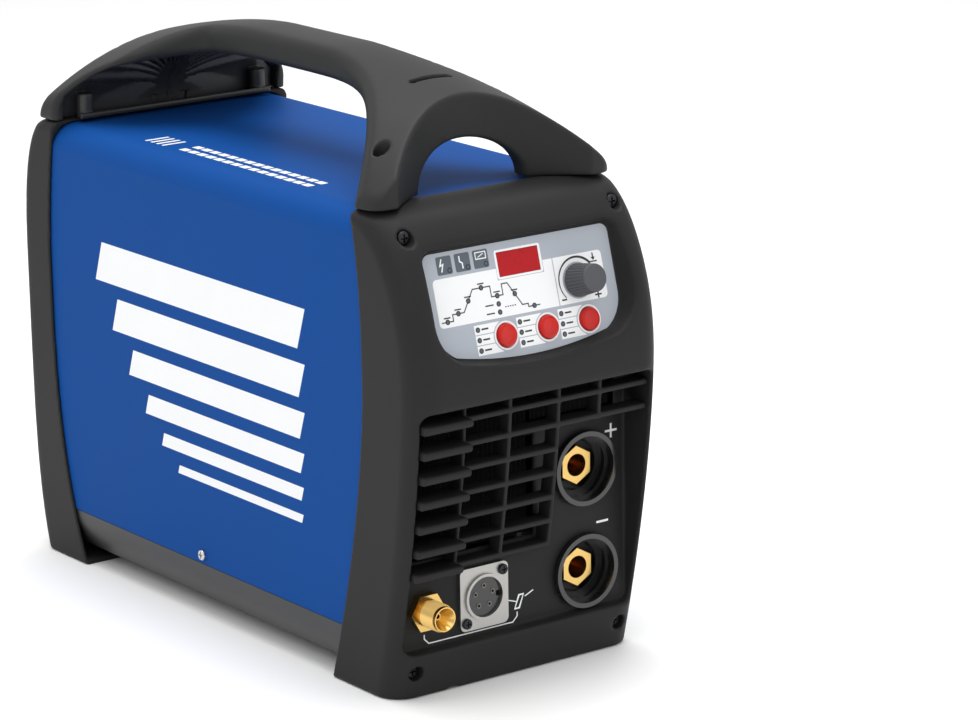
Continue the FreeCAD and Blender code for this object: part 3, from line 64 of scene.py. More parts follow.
def surface(name, colour, roughness, metal=0.0, vary=0.12, patch=28.0, grain=0.0, grain_size=0.6,
            coat=0.0, rough_vary=0.12, stretch=(1, 1, 1), shine=0.5):
    """A material whose colour, roughness and relief all vary a little over the surface.

    patch is how many soft patches there are to a metre, grain the height of the fine relief and
    grain_size its spacing, both in millimetres, and shine is the specular level.
    """
    material = bpy.data.materials.new(name)
    material.use_nodes = True
    links = material.node_tree.links
    shader = material.node_tree.nodes["Principled BSDF"]
    shader.inputs["Metallic"].default_value = metal
    shader.inputs["Coat Weight"].default_value = coat
    shader.inputs["Coat Roughness"].default_value = 0.08
    shader.inputs["Specular IOR Level"].default_value = shine
    place = node_of(material, "ShaderNodeTexCoord")
    scale = node_of(material, "ShaderNodeMapping", Scale=stretch)
    links.new(place.outputs["Object"], scale.inputs["Vector"])
    soft = node_of(material, "ShaderNodeTexNoise", Scale=patch, Detail=4.0, Roughness=0.6)
    links.new(scale.outputs["Vector"], soft.inputs["Vector"])
    shade = material.node_tree.nodes.new("ShaderNodeMix")
    shade.data_type = "RGBA"
    shade.inputs["A"].default_value = [c * (1 - vary) for c in colour] + [1]
    shade.inputs["B"].default_value = [min(1, c * (1 + vary)) for c in colour] + [1]
    links.new(soft.outputs["Fac"], shade.inputs["Factor"])
    links.new(shade.outputs["Result"], shader.inputs["Base Color"])
    gloss = node_of(material, "ShaderNodeMapRange")
    gloss.inputs["To Min"].default_value = max(0.02, roughness * (1 - rough_vary))
    gloss.inputs["To Max"].default_value = min(1, roughness * (1 + rough_vary))
    links.new(soft.outputs["Fac"], gloss.inputs["Value"])
    links.new(gloss.outputs["Result"], shader.inputs["Roughness"])
    if grain:
        fine = node_of(material, "ShaderNodeTexNoise", Scale=1000 / grain_size, Detail=2.0)
        links.new(scale.outputs["Vector"], fine.inputs["Vector"])
        relief = node_of(material, "ShaderNodeBump", Strength=1.0, Distance=grain * MM)
        links.new(fine.outputs["Fac"], relief.inputs["Height"])
        links.new(relief.outputs["Normal"], shader.inputs["Normal"])
    return material


SHELL = surface("shell_plastic", (0.018, 0.018, 0.018), 0.52, grain=0.05, grain_size=0.9,
                shine=0.14)
HANDLE = surface("handle_plastic", (0.022, 0.023, 0.022), 0.48, grain=0.05, grain_size=0.9,
                 shine=0.16)
DARK = surface("inner_plastic", (0.022, 0.022, 0.023), 0.42, grain=0.03)
BLUE = surface("cover_powder_coat", (0.006, 0.062, 0.262), 0.55, vary=0.05, patch=9.0,
               grain=0.012, grain_size=2.4, shine=0.04)
LABEL = surface("label_sheet_print", (0.36, 0.39, 0.44), 0.42, vary=0.03)
WHITE = surface("white_print", (0.80, 0.81, 0.82), 0.45, vary=0.03)
INK = surface("black_print", (0.012, 0.012, 0.014), 0.45, vary=0.15)
SLATE = surface("slate_print", (0.075, 0.095, 0.120), 0.45, vary=0.06)
WINDOW = surface("window_acrylic", (0.40, 0.008, 0.012), 0.28, vary=0.10, patch=160,
                 shine=0.15)
BUTTON = surface("button_gloss", (0.50, 0.012, 0.008), 0.20, vary=0.08, shine=0.30)
KNOB = surface("knob_plastic", (0.070, 0.074, 0.082), 0.50, grain=0.02, shine=0.3)
GLOSS = surface("socket_moulding", (0.010, 0.010, 0.011), 0.16, coat=0.5, vary=0.2)
BRASS = surface("turned_brass", (0.72, 0.48, 0.16), 0.24, metal=1.0, vary=0.10, patch=60)
COPPER = surface("copper", (0.66, 0.30, 0.17), 0.34, metal=1.0, patch=60)
ZINC = surface("die_cast_zinc", (0.44, 0.43, 0.41), 0.42, metal=1.0, patch=90, grain=0.02)
STEEL = surface("bright_steel", (0.62, 0.62, 0.61), 0.28, metal=1.0, patch=80)
BLACK_STEEL = surface("black_steel", (0.035, 0.036, 0.040), 0.36, metal=0.9, patch=80)
BOARD = surface("circuit_board", (0.02, 0.12, 0.05), 0.40, vary=0.2, patch=120)
ALUMINIUM = surface("extruded_aluminium", (0.58, 0.59, 0.61), 0.36, metal=1.0,
                    stretch=(1, 0.08, 1), patch=220)
FERRITE = surface("ferrite", (0.05, 0.05, 0.055), 0.62, grain=0.03)
EPOXY = surface("moulded_epoxy", (0.02, 0.02, 0.021), 0.48, grain=0.02)
CAN = surface("sleeved_can", (0.10, 0.12, 0.16), 0.30, coat=0.3)
HOSE = surface("hose_blue", (0.03, 0.07, 0.25), 0.35)
FIBRE = surface("fibre_board", (0.45, 0.44, 0.40), 0.70, patch=200)
PIN_METAL = surface("darkened_pins", (0.16, 0.15, 0.14), 0.35, metal=1.0, patch=90)
FILTER = surface("filter_foam", (0.006, 0.006, 0.006), 0.9, vary=0.4, patch=900, grain=0.3,
                 shine=0.1)

SLOT_MATERIAL = {
    "shell_black": SHELL, "tray_black": DARK, "cover_blue": BLUE, "label_grey": LABEL,
    "window_red": WINDOW, "button_red": BUTTON, "knob_grey": KNOB, "socket_black": GLOSS,
    "brass": BRASS, "copper": COPPER, "zinc": ZINC, "steel": STEEL, "screw_black": BLACK_STEEL,
    "screw_zinc": STEEL, "board_green": BOARD, "heatsink": ALUMINIUM, "ferrite": FERRITE,
    "component_black": EPOXY, "can_grey": CAN, "hose_clear": HOSE, "fan_black": DARK,
    "shelf_grey": FIBRE,
}

for row in frame["record"]["subparts"]:
    mesh = frame["nodes"][row["node"]].data
    mesh.materials.clear()
    mesh.materials.append(SLOT_MATERIAL[row["material_slot"]])

frame["nodes"]["torch_socket_contacts"].data.materials[0] = PIN_METAL


# ------------------------------------------------------------ solids from fields
def smooth_max(a, b, radius):
    """The meeting of two fields, with its outer edge rounded to a radius."""
    return (np.minimum(-radius, np.maximum(a, b))
            + np.hypot(np.maximum(a + radius, 0), np.maximum(b + radius, 0)))


def smooth_min(a, b, radius):
    """The union of two fields, with its inner corner filleted to a radius."""
    return -smooth_max(-a, -b, radius)


def carve(body, tool, radius):
    """A body less a tool, with the edge between them rounded."""
    return smooth_max(body, -tool, radius)


def between(axis, low, high):
    """How far outside a span a place is, negative inside."""
    return np.abs(axis - (low + high) / 2) - (high - low) / 2


def outline_field(u, v, outline):
    """Signed distance in a plane to a closed outline, negative inside."""
    nearest = np.full(np.broadcast(u, v).shape, 1e9, np.float32)
    inside = np.zeros(nearest.shape, bool)
    for (ax, ay), (bx, by) in zip(outline, outline[1:] + outline[:1]):
        ex, ey = bx - ax, by - ay
        span = ex * ex + ey * ey
        if span < 1e-9:
            continue
        wx, wy = u - ax, v - ay
        t = np.clip((wx * ex + wy * ey) / span, 0, 1)
        nearest = np.minimum(nearest, (wx - ex * t) ** 2 + (wy - ey * t) ** 2)
        if ey:
            inside ^= ((ay > v) != (by > v)) & (wx < ex * wy / ey)
    return np.where(inside, -1, 1) * np.sqrt(nearest)


def new_piece(name, data, material):
    """An object made from a mesh and one material, linked to the scene."""
    data.materials.append(material)
    piece = bpy.data.objects.new(name, data)
    bpy.context.scene.collection.objects.link(piece)
    return piece


class Room:
    """A grid of points, in millimetres, on which fields are worked out."""

    def __init__(self, low, high, pitch):
        self.low, self.pitch = np.array(low, float), pitch
        across, along, up = (np.arange(a, b + pitch, pitch, dtype=np.float32)
                             for a, b in zip(low, high))
        self.x, self.y, self.z = (across[:, None, None], along[None, :, None], up[None, None, :])

    def box(self, x0, x1, y0, y1, z0, z1, radius=0.0):
        """A block, its edges rounded to a radius."""
        parts = [between(axis, low, high) + radius
                 for axis, low, high in ((self.x, x0, x1), (self.y, y0, y1), (self.z, z0, z1))]
        outside = np.sqrt(sum(np.maximum(part, 0) ** 2 for part in parts))
        inside = np.minimum(np.maximum(parts[0], np.maximum(parts[1], parts[2])), 0)
        return outside + inside - radius

    def recess_y(self, x0, x1, z0, z1, radius, y0, y1, fillet):
        """A pocket along Y: rounded corners seen from the front, a small fillet at its floor."""
        across = between(self.x, x0, x1) + radius
        up = between(self.z, z0, z1) + radius
        corner = (np.hypot(np.maximum(across, 0), np.maximum(up, 0))
                  + np.minimum(np.maximum(across, up), 0) - radius)
        return smooth_max(corner, between(self.y, y0, y1), fillet)

    def rod_y(self, x, z, radius, y0, y1):
        """A round bar along Y."""
        return np.maximum(np.hypot(self.x - x, self.z - z) - radius, between(self.y, y0, y1))

    def rod_z(self, x, y, radius, z0, z1):
        """A round bar along Z."""
        return np.maximum(np.hypot(self.x - x, self.y - y) - radius, between(self.z, z0, z1))

    def mesh(self, name, field, material, adaptivity=0.0):
        """A piece whose skin is where the field is zero."""
        volume = openvdb.FloatGrid(9.0)
        volume.copyFromArray(np.ascontiguousarray(field, dtype=np.float32))
        points, triangles, quads = volume.convertToPolygons(isovalue=0.0, adaptivity=adaptivity)
        data = bpy.data.meshes.new(name)
        corners = (self.low + points * self.pitch) * MM
        faces = [tuple(face[::-1]) for face in quads.tolist() + triangles.tolist()]
        data.from_pydata(corners.tolist(), [], faces)
        data.polygons.foreach_set("use_smooth", [True] * len(data.polygons))
        return new_piece(name, data, material)


def settle(piece, body, slot, *replaced):
    """Put a piece on its body, and hide what it stands for."""
    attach(piece, body)
    if replaced:
        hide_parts(*replaced)
    return piece


# ------------------------------------------------------------ driving dimensions
# All in millimetres.  Heights are above the ground and places are from the middle.
front_low, front_high = (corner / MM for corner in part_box("front_bezel"))
rear_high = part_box("rear_bezel")[1] / MM
SIDE, SHELL_TOP = front_high.x, front_high.z
NOSE, BACK = front_low.y, rear_high.y
FLOOR = NOSE + 30.5                       # connector wall, seen from the front
PANEL_ORIGIN = Vector((0, NOSE + 16.5, 218))
LEAN = math.radians(15.5)
PANEL_UP = Vector((0, math.sin(LEAN), math.cos(LEAN)))
PANEL_OUT = Vector((0, -math.cos(LEAN), math.sin(LEAN)))
SOCKETS = ((49.6, 110.0), (49.6, 50.0))
BUTTONS = (-16.4, 12.0, 40.4)
BUTTON_ROW = -17.5
KNOB_AT = (37.2, 4.5)
WELLS = [(side * 70.7, z) for side in (-1, 1) for z in (260.0, 15.5)]
GAS_AT, TORCH_AT = (-62.0, 49.0), (-22.0, 49.5)
FAN_AT, SWITCH_AT, GLAND_AT = (22.0, 118.0), (-50.0, 196.0), (-50.0, 118.0)
WELL_HOLE, SOCKET_HOLE, GAS_HOLE, TORCH_HOLE = 4.4, 20.3, 5.2, 12.8
BUTTON_HOLE, KNOB_HOLE = 6.9, 4.9
FAN_HOLE, SWITCH_HOLE, GLAND_HOLE = 41.0, 6.2, 11.2
DISPLAY = (-14.2, 14.0, 14.0, 27.6)       # on the panel: left, right, lower and upper edges
RECESS = (-79, 79, 27, 168)               # connector recess: left, right, lower and upper edges
REAR_RECESS = (-72, 72, 32, 236)
INTAKES = ((-74, 14.5, 78, 162), (13.5, 72, 142, 162))  # each: left, right, lower, upper
SKIN, SIDE_WALL = 3.0, 1.8                # mouldings: at their ends, and beside the cover
FRONT_CORNER, REAR_CORNER = 16.0, 10.0
TUB_WALL, BOSS = 2.4, 6.5
RECESS_CORNER, FLOOR_ROUND, HOLE_LIP = 6, 1.2, 0.8
LABEL_SHEET = 0.5                         # how deep the label is let into the panel
LIGHTEN = 0.02                            # how far flat areas are made of larger triangles

WAIST = 178.0                             # where both mouldings reach furthest


def bulge(height, lean, lean_power, roll, chin, chin_power):
    """How far a curved end lies behind its furthest line, at a height."""
    up = np.clip((height - WAIST) / (SHELL_TOP - WAIST), 0, 1.05)
    down = np.clip((WAIST - height) / WAIST, 0, 1.05)
    return lean * up ** lean_power + roll * up ** 12 + chin * down ** chin_power


def front_face(height):
    """The front face seen from the side."""
    return NOSE + bulge(height, 34.0, 2.2, 8.0, 29.0, 1.6)


def rear_face(height):
    """The rear face seen from the side."""
    return BACK - bulge(height, 16.0, 3.0, 6.0, 12.0, 4.5)


def front_mouth(height):
    """Where the front moulding ends against the cover."""
    return -160.0 + bulge(height, 8.5, 2.7, 0.0, 35.5, 1.65)


def rear_mouth(height):
    """Where the rear moulding ends against the cover."""
    return 168.5 - bulge(height, 10.0, 2.0, 0.0, 29.0, 2.75)


def slope_of(curve, z):
    """How much a face's distance shrinks where its line leans."""
    return np.sqrt(1 + ((curve(z + 1) - curve(z - 1)) / 2) ** 2)


def shell_field(room, face, mouth, sign, corner):
    """A hollow end moulding: sign is -1 at the front and 1 at the back."""
    lean = slope_of(face, room.z)
    ahead = sign * (room.y - face(room.z)) / lean
    beside = np.abs(room.x) - SIDE + 0.02     # just inside the frame
    over = room.z - SHELL_TOP
    under = -room.z
    top_round, inner_round, foot_round, mouth_round = 6.0, 13.0, 2.0, 0.7
    solid = smooth_max(smooth_max(ahead, beside, corner), over, top_round)
    hollow = smooth_max(ahead + SKIN, beside + SIDE_WALL, corner - SKIN)
    hollow = smooth_max(hollow, over + SIDE_WALL, inner_round)
    hollow = np.maximum(hollow, under + SKIN)
    solid = smooth_max(solid, under, foot_round)
    behind = sign * (mouth(room.z) - room.y)
    solid = smooth_max(solid, behind, mouth_round)
    return solid, hollow


def arc(across, along, radius, start, end, steps=12):
    """Points along an arc, its angles in degrees."""
    return [(across + radius * math.cos(a), along + radius * math.sin(a))
            for a in np.radians(np.linspace(start, end, steps + 1))]


def label_outline():
    """The control label: straight top, rounded shoulders and a long curved lower edge."""
    half, up, low, side_end = 63.0, 33.0, -30.0, -5.0
    corner, chin, chin_turn = 5.0, 22.0, 62.0
    right = arc(half - corner, up - corner, corner, 90, 0)
    right += arc(half - chin, side_end, chin, 0, -chin_turn)
    reach, rise = right[-1][0], right[-1][1] - low
    sweep = (reach ** 2 + rise ** 2) / (2 * rise)
    spread = math.degrees(math.asin(reach / sweep))
    right += arc(0, low + sweep, sweep, -90 + spread, -90)[1:]
    return right + [(-x, y) for x, y in reversed(right[:-1])]


LABEL_OUTLINE = [tuple(float(c) for c in p) for p in label_outline()]


def panel_coordinates(room):
    """Up the slope of the panel, and out of it."""
    y, z = room.y - PANEL_ORIGIN.y, room.z - PANEL_ORIGIN.z
    return (y * PANEL_UP.y + z * PANEL_UP.z, y * PANEL_OUT.y + z * PANEL_OUT.z)


def label_field(room, slope):
    """Distance to the label's outline, looked up across the panel."""
    table_step = 0.5
    across = room.x[:, 0, 0]
    rows = np.arange(-90, 90, table_step, dtype=np.float32)
    table = outline_field(across[:, None], rows[None, :], LABEL_OUTLINE)
    place = np.clip((slope[0] - rows[0]) / table_step, 0, len(rows) - 1.001)
    low = place.astype(int)
    part = (place - low).astype(np.float32)
    return table[:, low] * (1 - part) + table[:, low + 1] * part


def front_bezel():
    """Front moulding, with the leaning panel recess, connector recess and screw wells."""
    room = Room((-SIDE - 2, NOSE - 2, -2), (SIDE + 2, -121, SHELL_TOP + 2), 1.0)
    solid, hollow = shell_field(room, front_face, front_mouth, -1, FRONT_CORNER)
    slope, out = panel_coordinates(room)
    edge = label_field(room, slope)
    clear, flare, flare_length = 0.8, 0.42, 1.08
    label_lip, recess_lip = 2.2, 2.4
    well_floor, boss_start, boss_end = -180.5, NOSE + 20, -168
    height = out + LABEL_SHEET
    widen = clear + flare * height
    recess = smooth_max((edge - widen) / flare_length, -height, FLOOR_ROUND)
    tub = room.recess_y(*RECESS, RECESS_CORNER, NOSE - 30, FLOOR, FLOOR_ROUND)
    through_wall = FLOOR - 2, FLOOR + 6
    fittings = [(x, z, SOCKET_HOLE) for x, z in SOCKETS]
    fittings += [(*GAS_AT, GAS_HOLE), (*TORCH_AT, TORCH_HOLE)]
    holes = [room.rod_y(x, z, WELL_HOLE, NOSE - 5, well_floor) for x, z in WELLS]
    holes += [room.rod_y(x, z, radius, *through_wall) for x, z, radius in fittings]
    backing = np.minimum(recess - 2.6, tub - TUB_WALL)
    for x, z in WELLS:
        backing = np.minimum(backing, room.rod_y(x, z, BOSS, boss_start, boss_end))
    body = np.maximum(solid, -np.maximum(hollow, -backing))
    body = carve(body, recess, label_lip)
    body = carve(body, tub, recess_lip)
    for hole in holes:
        body = carve(body, hole, HOLE_LIP)
    through_panel = np.abs(out) - 12
    controls = [(x, BUTTON_ROW, BUTTON_HOLE) for x in BUTTONS] + [(*KNOB_AT, KNOB_HOLE)]
    for x, v, radius in controls:
        opening = np.hypot(room.x - x, slope - v) - radius
        body = np.maximum(body, -np.maximum(opening, through_panel))
    window = np.maximum(between(room.x, *DISPLAY[:2]), between(slope, *DISPLAY[2:]))
    body = np.maximum(body, -np.maximum(window, through_panel))
    for left, right, low, high in INTAKES:
        body = np.maximum(body, -room.box(left, right, *through_wall, low, high))
    notch_under_foot = room.box(-47, -40, NOSE, -170, -5, 1.7)
    body = np.maximum(body, -notch_under_foot)
    piece = room.mesh("front_moulding", body, SHELL, LIGHTEN)
    return settle(piece, HOUSING, "shell_black", "front_bezel")


def front_grille():
    """Slats that follow the nose: flush and thick at the left, thin and set back further right."""
    room = Room((-80, NOSE - 1, 66), (80, FLOOR, 169), 0.6)
    face = front_face(room.z)
    lean = slope_of(front_face, room.z)
    depth = (face - room.y) / lean
    pitch, top, setback, reach = 14.25, 159.4, 8.0, 20.0
    step, short_end, long_end = -47.0, 17.5, 78.8
    thin_half, thick_half, rib_half = 1.7, 2.4, 1.2
    rows, full_rows = 7, 2
    slats = np.full(np.broadcast(room.x, room.y, room.z).shape, 9.0, np.float32)
    layer_back = np.maximum(depth + setback, -depth - reach)
    layer_flush = np.maximum(depth + 0.2, -depth - reach)
    for row in range(rows):
        z = top - row * pitch
        end = long_end if row < full_rows else short_end
        rise = np.abs(room.z - z)
        thin = smooth_max(rise - thin_half, layer_back, 1.3)
        thin = np.maximum(thin, np.maximum(step - 2 - room.x, room.x - end))
        thick = smooth_max(rise - thick_half, layer_flush, 2.2)
        thick = smooth_max(thick, np.maximum(-long_end - room.x, room.x - step), 0.6)
        slats = np.minimum(slats, np.minimum(thin, thick))
    lowest = top - (rows - 1) * pitch - thin_half
    second = top - pitch - thin_half
    ribs = ((-16.0, lowest), (short_end, lowest), (46.0, second), (step, lowest))
    for x, low in ribs:
        rib = smooth_max(np.abs(room.x - x) - rib_half, layer_back + 0.6, 0.9)
        rib = np.maximum(rib, np.maximum(low - room.z, room.z - 167.8))
        slats = smooth_min(slats, rib, 0.8)
    slats = np.maximum(slats, room.y - FLOOR + 0.2)
    piece = room.mesh("front_louvre", slats, SHELL)
    return settle(piece, HOUSING, "shell_black", "front_grille")


def rear_bezel():
    """Rear moulding with its recessed wall."""
    room = Room((-SIDE - 2, 136, -2), (SIDE + 2, BACK + 2, SHELL_TOP + 2), 1.1)
    solid, hollow = shell_field(room, rear_face, rear_mouth, 1, REAR_CORNER)
    wall = BACK - 12
    tub = room.recess_y(*REAR_RECESS, RECESS_CORNER, wall, BACK + 30, FLOOR_ROUND)
    body = np.maximum(solid, -np.maximum(hollow, TUB_WALL - tub))
    body = carve(body, tub, 2.0)
    fittings = ((*FAN_AT, FAN_HOLE), (*SWITCH_AT, SWITCH_HOLE), (*GLAND_AT, GLAND_HOLE),
                (*GAS_AT, GAS_HOLE))
    holes = [room.rod_y(x, z, WELL_HOLE, BACK - 19, BACK + 5) for x, z in WELLS]
    holes += [room.rod_y(x, z, radius, wall - 6, BACK) for x, z, radius in fittings]
    for hole in holes:
        body = carve(body, hole, HOLE_LIP)
    piece = room.mesh("rear_moulding", body, SHELL, LIGHTEN)
    return settle(piece, HOUSING, "shell_black", "rear_bezel")


SEAT = SHELL_TOP + 0.3
FOOT, GRIP = 84.0, 18.5
HANDLE_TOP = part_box("handle")[1].z / MM
FORK_START, FORK_END = -32.0, -155.0      # grip to front feet
SPREAD_START, SPREAD_END = 85.0, 150.0    # grip to rear feet
HAND_GAP = (-120.0, 158.0)
FRONT_SQUARE, REAR_SQUARE = 3.8, 2.6      # how square the hand gap's two ends are
GRIP_DEPTH = 20.0
BROW, BROW_SWEEP, BROW_HALF = -140.0, 32.0, 66.0
ARCH_HALF, ARCH_RISE = 36.0, 25.0
CREST_FRONT, CREST_REAR = -35.0, 40.0     # the top starts to fall beyond these
FRONT_RUN, REAR_RUN = 145.0, 144.0
FRONT_DROP, REAR_DROP = 24.0, 25.0
CROWN_FALL, CROWN_HALF = 46.0, 88.0       # fall towards each side
HOOD_MIDDLE, HOOD_REACH, HOOD_RISE = 118.0, 60.0, 72.0


def fork_half(y):
    """Half the handle's width from above, at a place along it."""
    if y < FORK_START:
        along = min((y - FORK_START) / (FORK_END - FORK_START), 1)
        return GRIP + (FOOT - GRIP) * along ** 2.2
    along = min(max((y - SPREAD_START) / (SPREAD_END - SPREAD_START), 0), 1)
    return GRIP + (FOOT - GRIP) * (1 - math.cos(math.pi * along)) / 2


def quarter(centre, reach, rise, power):
    """A quarter of a rounded box, from the seat up to its top."""
    return [(centre + reach * max(math.cos(a), 0) ** (2 / power),
             SEAT + rise * math.sin(a) ** (2 / power)) for a in np.radians(np.linspace(0, 90, 25))]


class HandleForm:
    """The fields that the handle and the ribbed wall under its hood share."""

    def __init__(self, room):
        self.room = room
        ahead = np.maximum(CREST_FRONT - room.y, 0) / FRONT_RUN
        behind = np.maximum(room.y - CREST_REAR, 0) / REAR_RUN
        crest = HANDLE_TOP - FRONT_DROP * ahead ** 1.5 - REAR_DROP * behind ** 1.7
        fall = CROWN_FALL * (1 - 0.2 * np.clip(room.y / 100, 0, 1)) / CROWN_HALF ** 2
        self.top = (room.z - crest + fall * room.x ** 2) / np.sqrt(1 + (2 * fall * room.x) ** 2)
        right = [(FOOT, -230)] + [(fork_half(y), y) for y in np.linspace(FORK_END, SPREAD_END, 90)]
        right.append((FOOT, 230))
        left = [(-x, y) for x, y in reversed(right)]
        self.fork = outline_field(room.x[:, :, 0], room.y[:, :, 0], right + left)[:, :, None]
        middle, half = sum(HAND_GAP) / 2, (HAND_GAP[1] - HAND_GAP[0]) / 2
        clear = HANDLE_TOP - GRIP_DEPTH + 1.2 - SEAT
        gap = quarter(middle, -half, clear, FRONT_SQUARE)
        gap += quarter(middle, half, clear, REAR_SQUARE)[::-1]
        gap += [(HAND_GAP[1], SEAT - 30), (HAND_GAP[0], SEAT - 30)]
        self.under = -outline_field(room.y[0], room.z[0], gap)[None, :, :]
        back = quarter(HOOD_MIDDLE, HOOD_REACH, HOOD_RISE, 1.6)[::-1]
        side_view = [(-200, back[0][1])] + back
        side_view += [(HOOD_MIDDLE + HOOD_REACH, SEAT - 30), (-200, SEAT - 30)]
        self.back = outline_field(room.y[0], room.z[0], side_view)[None, :, :]

    def skin(self, depth):
        """What lies deeper than this under the crown and the hood's end."""
        return np.maximum(self.top, self.back) + depth


def handle():
    """Carrying handle: a grip that forks to four feet, crowned between its shoulders."""
    room = Room((-SIDE - 1, -175, SEAT - 2), (SIDE + 1, 181, 340), 0.85)
    form = HandleForm(room)
    shoulder, edge, brow_edge, foot_corner = 6.5, 5.0, 2.6, 12.0
    body = smooth_max(form.top, form.fork, shoulder)
    body = smooth_max(body, form.back, edge)
    body = smooth_max(body, form.under, edge)
    recess = np.maximum(np.maximum(-form.under - 9, form.fork + 7.5), 88 - room.y)
    recess = np.maximum(recess, form.skin(4.0))
    body = carve(body, recess, 1.5)
    across = np.minimum(np.abs(room.x), BROW_HALF)
    lean = np.sqrt(1 + (2 * BROW_SWEEP * across / BROW_HALF ** 2) ** 2)
    brow = (BROW - BROW_SWEEP * (across / BROW_HALF) ** 2 - room.y) / lean
    brow = smooth_max(brow, np.abs(room.x) - FOOT, foot_corner)
    body = smooth_max(body, brow, brow_edge)
    widen = ARCH_HALF * (1 + 1.1 * np.clip((room.y - BROW) / 50, 0, 1))
    arch = np.hypot(room.x * ARCH_RISE / widen, room.z - SEAT) - ARCH_RISE
    body = carve(body, np.maximum(arch, room.y + 90), 2.0)
    body = carve(body, room.box(-14, 14, -114, -110, 320, 345, 1.5), 0.3)
    slot_middle, slot_half = 60, 7
    screw_across, screw_along, screw_hole = 58, -146, 4.6
    for side in (-1, 1):
        slot = room.box(side * slot_middle - slot_half, side * slot_middle + slot_half,
                        171.5, 174.5, 281, 330, 1.5)
        well = room.rod_z(side * screw_across, screw_along, screw_hole, SEAT + 9, 345)
        body = carve(body, slot, 0.6)
        body = carve(body, well, HOLE_LIP)
    body = smooth_max(body, SEAT - room.z, 1.0)
    piece = room.mesh("carrying_handle", body, HANDLE, LIGHTEN)
    return settle(piece, HOUSING, "shell_black", "handle")


def hood_wall():
    """Ribbed wall inside the rear hood: two fans of ribs that spread from the middle."""
    room = Room((-76, 84, SEAT - 1), (76, 172, 326), 0.6)
    form = HandleForm(room)
    skin = np.abs(form.under + 7.5) - 0.9
    fan_middle, rib_half, spine_half, pitch = 160, 0.8, 1.6, math.radians(11)
    post_across, post_along, post_radius, post_top = 62, 158, 4.85, 288
    base = SEAT + 0.1
    reach = np.hypot(room.x, fan_middle - room.y)
    angle = np.arctan2(fan_middle - room.y, np.abs(room.x) + 0.01)
    nearest = np.abs(np.mod(angle / pitch, 1) - 0.5) * pitch * reach
    ribs = np.maximum(nearest - rib_half, np.abs(form.under + 5.5) - 1.8)
    spine = np.maximum(np.abs(room.x) - spine_half, np.abs(form.under + 5.0) - 2.4)
    wall = np.minimum(np.minimum(skin, ribs), spine)
    wall = np.maximum(wall, form.fork + 7.7)
    wall = np.maximum(wall, form.skin(4.2))
    wall = np.maximum(wall, base - room.z)
    wall = np.maximum(wall, 90 - room.y)
    ledge = room.box(-68, 68, 152, 155, base, SEAT + 3.4, 0.6)
    wall = np.minimum(wall, ledge)
    for side in (-1, 1):
        post = room.rod_z(side * post_across, post_along, post_radius, base, post_top)
        wall = np.minimum(wall, post)
    piece = room.mesh("hood_ribbed_wall", wall, DARK, LIGHTEN)
    return settle(piece, HOUSING, "shell_black", "hood_louvre")


# ------------------------------------------------------------------ printed art
def on_label(across, along, out):
    """A place on the control label."""
    return PANEL_ORIGIN + Vector((across, 0, 0)) + PANEL_UP * along + PANEL_OUT * out


def on_wall(across, up, out):
    """A place on the connector wall."""
    return Vector((across, FLOOR - out, up))


COVER_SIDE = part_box("cover")[1].x / MM
COVER_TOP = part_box("cover")[1].z / MM


def on_left(along, up, out):
    """A place on the cover's left side."""
    return Vector((-COVER_SIDE - out, along, up))


def on_right(along, up, out):
    """A place on the cover's right side."""
    return Vector((COVER_SIDE + out, along, up))


def on_top(across, along, out):
    """A place on top of the cover."""
    return Vector((across, along, COVER_TOP + out))


def rounded(x0, x1, y0, y1, radius):
    """A rectangle with rounded corners."""
    return (arc(x1 - radius, y1 - radius, radius, 90, 0, 5)
            + arc(x1 - radius, y0 + radius, radius, 0, -90, 5)
            + arc(x0 + radius, y0 + radius, radius, -90, -180, 5)
            + arc(x0 + radius, y1 - radius, radius, 180, 90, 5))


def circle(across, along, radius, steps=28):
    """A full circle."""
    return arc(across, along, radius, 0, 360, steps)[:-1]


def stroke(points, width):
    """The outline of a line with mitred corners."""
    line = [Vector(p) for p in points]
    sides = []
    for k, here in enumerate(line):
        before = (here - line[k - 1]).normalized() if k else None
        after = (line[k + 1] - here).normalized() if k + 1 < len(line) else before
        before = before or after
        normal = Vector((-before.y - after.y, before.x + after.x)).normalized()
        reach = width / 2 / max(normal.dot(Vector((-after.y, after.x))), 0.45)
        sides.append((here + normal * reach, here - normal * reach))
    return [tuple(a) for a, b in sides] + [tuple(b) for a, b in reversed(sides)]


def prints(name, shapes, place, low, high, material, slot):
    """Thin plates on a surface. Each shape is an outline and then any holes in it."""
    form = bmesh.new()
    for loops in shapes:
        edges = []
        for loop in loops:
            corners = [form.verts.new((u, v, low)) for u, v in loop]
            edges += [form.edges.new((corners[k - 1], corners[k])) for k in range(len(corners))]
        fill = bmesh.ops.triangle_fill(form, use_beauty=True, use_dissolve=False, edges=edges)
        sheet = [item for item in fill["geom"] if isinstance(item, bmesh.types.BMFace)]
        raised = bmesh.ops.extrude_face_region(form, geom=sheet, use_keep_orig=True)
        for item in raised["geom"]:
            if isinstance(item, bmesh.types.BMVert):
                item.co.z = high
    for corner in form.verts:
        corner.co = place(*corner.co) * MM
    bmesh.ops.recalc_face_normals(form, faces=form.faces)
    data = bpy.data.meshes.new(name)
    form.to_mesh(data)
    form.free()
    return settle(new_piece(name, data, material), HOUSING, slot)


